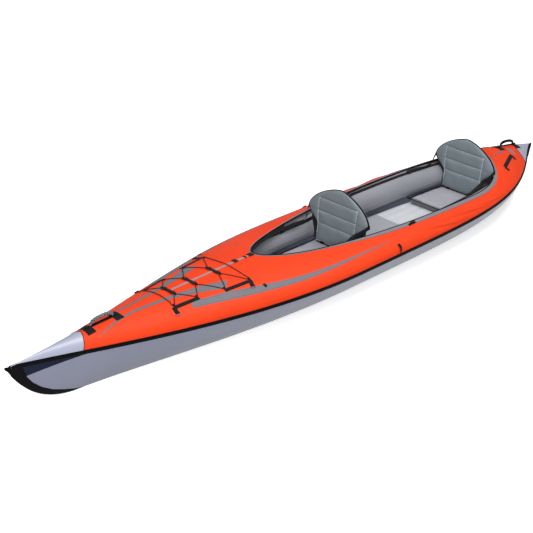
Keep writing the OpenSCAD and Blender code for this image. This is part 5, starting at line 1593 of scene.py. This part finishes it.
def at_handle(x, p):
    """Local points of a handle, laid along the slope of the deck at x."""
    a, b = float(deck_z(x - HANDLE_HALF, 0.0)), float(deck_z(x + HANDLE_HALF, 0.0))
    pitch = math.atan2(a - b, 2 * HANDLE_HALF)
    c, s = math.cos(pitch), math.sin(pitch)
    p = np.asarray(p, float)
    z = (a + b) / 2 + HANDLE_LIFT
    return np.stack([x + p[..., 0] * c + p[..., 2] * s, p[..., 1], z - p[..., 0] * s + p[..., 2] * c], -1)


def grip_path(count):
    """A low full arch from one end of the grip to the other."""
    t = np.linspace(0, np.pi, 33)
    c, s = np.cos(t), np.sin(t)
    arch = np.stack([-HANDLE_HALF * np.sign(c) * np.abs(c) ** 0.8, 0 * t, HANDLE_RISE * s ** 0.8], -1)
    return smooth_path(arch, count)


def grip_r(count):
    """The grip's radius along its length."""
    run = np.linspace(0, 1, count)
    return GRIP_END_R + (HANDLE_R - GRIP_END_R) * smooth01(np.minimum(run, 1 - run) / GRIP_ENDS)


def yarn_parts(x, path):
    """Yarns wound both ways round a path, over and under each other."""
    p = at_handle(x, path)
    d = np.gradient(p, axis=0)
    d /= np.linalg.norm(d, axis=1, keepdims=True)
    side = np.tile(np.array([0.0, 1, 0]), (len(p), 1))
    up = np.cross(d, side)
    run = np.linspace(0, 1, len(p))
    out = []
    for way in (1, -1):
        for k in range(STRANDS):
            a = way * (2 * np.pi * TURNS * run) + 2 * np.pi * k / STRANDS
            weave = np.cos(STRANDS * 2 * np.pi * TURNS * run + way * np.pi / 2)
            r = grip_r(len(p)) - YARN_IN + YARN_WAVE * way * weave
            q = p + r[:, None] * (np.cos(a)[:, None] * side + np.sin(a)[:, None] * up)
            out.append(tube_parts(q, YARN_R, sides=5, up=(0.03, 1, 0.02)))
    return out


for name, x, light_mat in HANDLES:
    path = grip_path(150)
    core = tube_parts(at_handle(x, path), grip_r(len(path)) - YARN_R, sides=12, up=(0, 1, 0))
    pin_half = SLEEVE_X + SLEEVE_L + 2
    pin = np.stack([np.linspace(-pin_half, pin_half, 6), np.zeros(6), np.zeros(6)], -1)
    rod = tube_parts(at_handle(x, pin), PIN_R, sides=14, up=(0, 1, 0))
    body = name + "_grip"
    add_piece(name + "_grip", [core, rod], BLACK_VINYL, "handle_braid", name + "_handle", body=body)
    yarns = yarn_parts(x, path)
    light = [yarn for k, yarn in enumerate(yarns) if k % 3]
    add_piece(name + "_yarn_light", light, light_mat, "handle_braid", body=body)
    add_piece(name + "_yarn_dark", yarns[::3], BLACK_WEB, "handle_braid", body=body)
print("grips made")

# %% Handle sleeves and patches
PATCH, PATCH_W, HANDLE_SLEEVE_R = 52.0, 86.0, 6.15
RIDGE_PATH = ((1550, 0), (1610, 0), (1740, 0), (1790, 0))


def ring_sleeve(x, s):
    """The sleeve round one stub of a handle."""
    a = np.radians(np.linspace(0, 360, 33))

    def rows(r):
        return np.stack([at_handle(x, np.stack([np.full(33, s * k), r * np.cos(a), r * np.sin(a)], -1))
                         for k in np.linspace(SLEEVE_X, SLEEVE_X + SLEEVE_L, 5)])
    return sheet_parts(rows(HANDLE_SLEEVE_R), rows(PIN_R + 0.15), open_edges=("low", "high"))


for name, x, _ in HANDLES:
    parts = [ring_sleeve(x, s) for s in (1, -1)]
    for s in (1, -1):
        mid = x + s * (SLEEVE_X + SLEEVE_L / 2)
        parts.append(strip_part(((mid - PATCH / 2, 0), (mid, 0), (mid + PATCH / 2, 0)), PATCH_W, across=21))
        parts.append(strip_part(((mid - 15, 0), (mid + 15, 0)), 17.0, lift=0.5 + WEB_T, thick=1.2))
        deck_stitches += box_lines((mid, 0), (1, 0), PATCH / 2 - 4, PATCH_W / 2 - 5, 2.9)
    add_piece(name + "_handle_base", parts, BLACK_WEB, "webbing", name + "_handle_base")
ridge_strip = strip_part(RIDGE_PATH, 12.0, thick=1.0, lift=0.3, count=50)
add_piece("bow_ridge_strip", [ridge_strip], BLACK_WEB, "webbing")
stitched("deck_stitches", both_lines(deck_stitches), "hull", "webbing", THREAD_DARK, 4.6, 3.2, 0.4)
print("deck stitch lines:", len(deck_stitches))

# %% [markdown]
# ## Small fittings
# The ladder buckles are moulded frames with three rounded bars. They are made from rounded boxes, which catch light
# on their edges as moulded parts do. The webbing loops at the gunwale are arches over a strip, and an oval patch lies
# on each side of the stern deck. The rings, valves, rods and ribs are exact round solids already, so they keep their
# solid shapes and get their own materials.

# %% Buckles
DECK_BUCKLE_X, DECK_BUCKLE_LIFT = 690.0, 3.2


def rounded_box(bm, low, high, radius):
    size = [b - a for a, b in zip(low, high)]
    mid = [(a + b) / 2 for a, b in zip(low, high)]
    made = bmesh.ops.create_cube(bm, size=1, matrix=Matrix.Translation(mid) @ Matrix.Diagonal((*size, 1)))
    edges = list({e for v in made["verts"] for e in v.link_edges})
    bmesh.ops.bevel(bm, geom=edges, offset=radius, segments=3, profile=0.5, affect="EDGES")


def ladder_buckle(long, wide, thick, bar, place):
    """A frame of two side rails and three bars, in its own axes, then put in place."""
    bm = bmesh.new()
    for s in (1, -1):
        y0, y1 = sorted((s * wide / 2, s * (wide / 2 - bar)))
        rounded_box(bm, (-long / 2, y0, 0), (long / 2, y1, thick), 1.3)
    for mid in (-long / 2 + bar / 2, 0, long / 2 - bar / 2):
        rounded_box(bm, (mid - bar / 2, -wide / 2 + 1, 0.3), (mid + bar / 2, wide / 2 - 1, thick - 0.3), 1.2)
    for k in range(5):
        y = (k - 2) * (wide - 2 * bar) / 5.5
        rounded_box(bm, (long / 2 - bar - 0.2, y - 0.8, thick - 0.8), (long / 2 - 0.4, y + 0.8, thick + 0.3), 0.3)
    bmesh.ops.transform(bm, matrix=place, verts=bm.verts)
    bmesh.ops.scale(bm, vec=(MM, MM, MM), verts=bm.verts)
    return bm


def buckle_piece(name, frames):
    """One piece from some buckles, dressed for the node of the same name."""
    mesh = bpy.data.meshes.new(name)
    all_of = bmesh.new()
    for bm in frames:
        one = bpy.data.meshes.new("one")
        bm.to_mesh(one)
        all_of.from_mesh(one)
        bm.free()
        bpy.data.meshes.remove(one)
    bmesh.ops.recalc_face_normals(all_of, faces=all_of.faces)
    all_of.to_mesh(mesh)
    all_of.free()
    mesh.shade_smooth()
    mesh.set_sharp_from_angle(angle=math.radians(60))
    mesh.materials.append(BLACK_PLASTIC)
    return dress(link(bpy.data.objects.new(name, mesh)), "hull", "buckle_plastic", name)


frames = []
for _, hinge in SEATS:
    bx = STRAP_RUN - hinge
    angle = float(webbing_angle(np.float64(bx)))
    at = tube_point(np.float64(bx), angle, BUCKLE_LIFT)
    for k in (1, -1):
        turned = Matrix.Rotation(math.radians(k * (angle - 90)), 4, "X")
        spot = Matrix.Translation((at[0], k * at[1], at[2])) @ turned
        frames.append(ladder_buckle(BUCKLE_L, 30.0, BUCKLE_T, 4.0, spot))
buckle_piece("strap_buckles", frames)
tilt = math.atan2(float(deck_z(DECK_BUCKLE_X - 1, 0.0) - deck_z(DECK_BUCKLE_X + 1, 0.0)), 2.0)
spot = Matrix.Translation(on_deck(DECK_BUCKLE_X, 0.0, DECK_BUCKLE_LIFT)) @ Matrix.Rotation(tilt, 4, "Y")
buckle_piece("deck_buckle", [ladder_buckle(28.0, 34.0, 5.0, 5.0, spot)])
print("buckles made")

# %% Gunwale loops
LOOP_X, LOOP_OUT, LOOP_HALF, LOOP_RISE, LOOP_R = -552.0, 16, 25, 22, 4.2
loop_y = float(rim_y(LOOP_X)) + LOOP_OUT
n, ahead = deck_axes(LOOP_X, loop_y)
t = np.linspace(0, np.pi, 30)[:, None]
arc = on_deck(LOOP_X, loop_y, 0.4) + LOOP_HALF * np.cos(t) * ahead + LOOP_RISE * np.sin(t) * n
foot = strip_part(((LOOP_X - 34, loop_y), (LOOP_X + 34, loop_y)), 14.0, thick=1.2, lift=3.6)
loop_parts = both_sides([tube_parts(arc, LOOP_R, sides=12, up=(0, 1, 0.1)), foot])
add_piece("gunwale_loops", loop_parts, BLACK_WEB, "webbing", "gunwale_loops")
print("loops made")

# %% Oval patches on the stern deck
OVAL_X, OVAL_Y, OVAL_LONG, OVAL_WIDE = -1938, 62, 20, 34
t = np.linspace(0, 2 * np.pi, 49)
r = np.linspace(0.02, 1, 8)[:, None]
px, py = OVAL_X + OVAL_LONG * r * np.cos(t), OVAL_Y + OVAL_WIDE * r * np.sin(t)
oval = sheet_parts(on_deck(px, py, 1.0), on_deck(px, py, 0.1), open_edges=("low", "high"))
add_piece("stern_patches", both_sides([oval]), BINDING_GREY, "tube_film")
print("stern patches made")

# %% Materials on the kept solids
KEPT = {
    "bow_rib": RIB_METAL, "stern_rib": RIB_METAL,
    "front_hinge_rod": BLACK_PLASTIC, "rear_hinge_rod": BLACK_PLASTIC,
    "front_seat_loops": BLACK_VINYL, "rear_seat_loops": BLACK_VINYL,
    "front_back_panel": PANEL_DARK, "rear_back_panel": PANEL_DARK,
}
for side in ("port", "starboard"):
    KEPT[side + "_fore_ring"] = KEPT[side + "_aft_ring"] = RING_METAL
    KEPT[side + "_valve"] = KEPT[side + "_valve_cap"] = GREY_PLASTIC
    KEPT[side + "_valve_plunger"] = WHITE_PLASTIC
for name, mat in KEPT.items():
    solid = node_objects[name]
    for item in solid.material_slots:
        item.material = mat
print("kept solids:", len(KEPT))
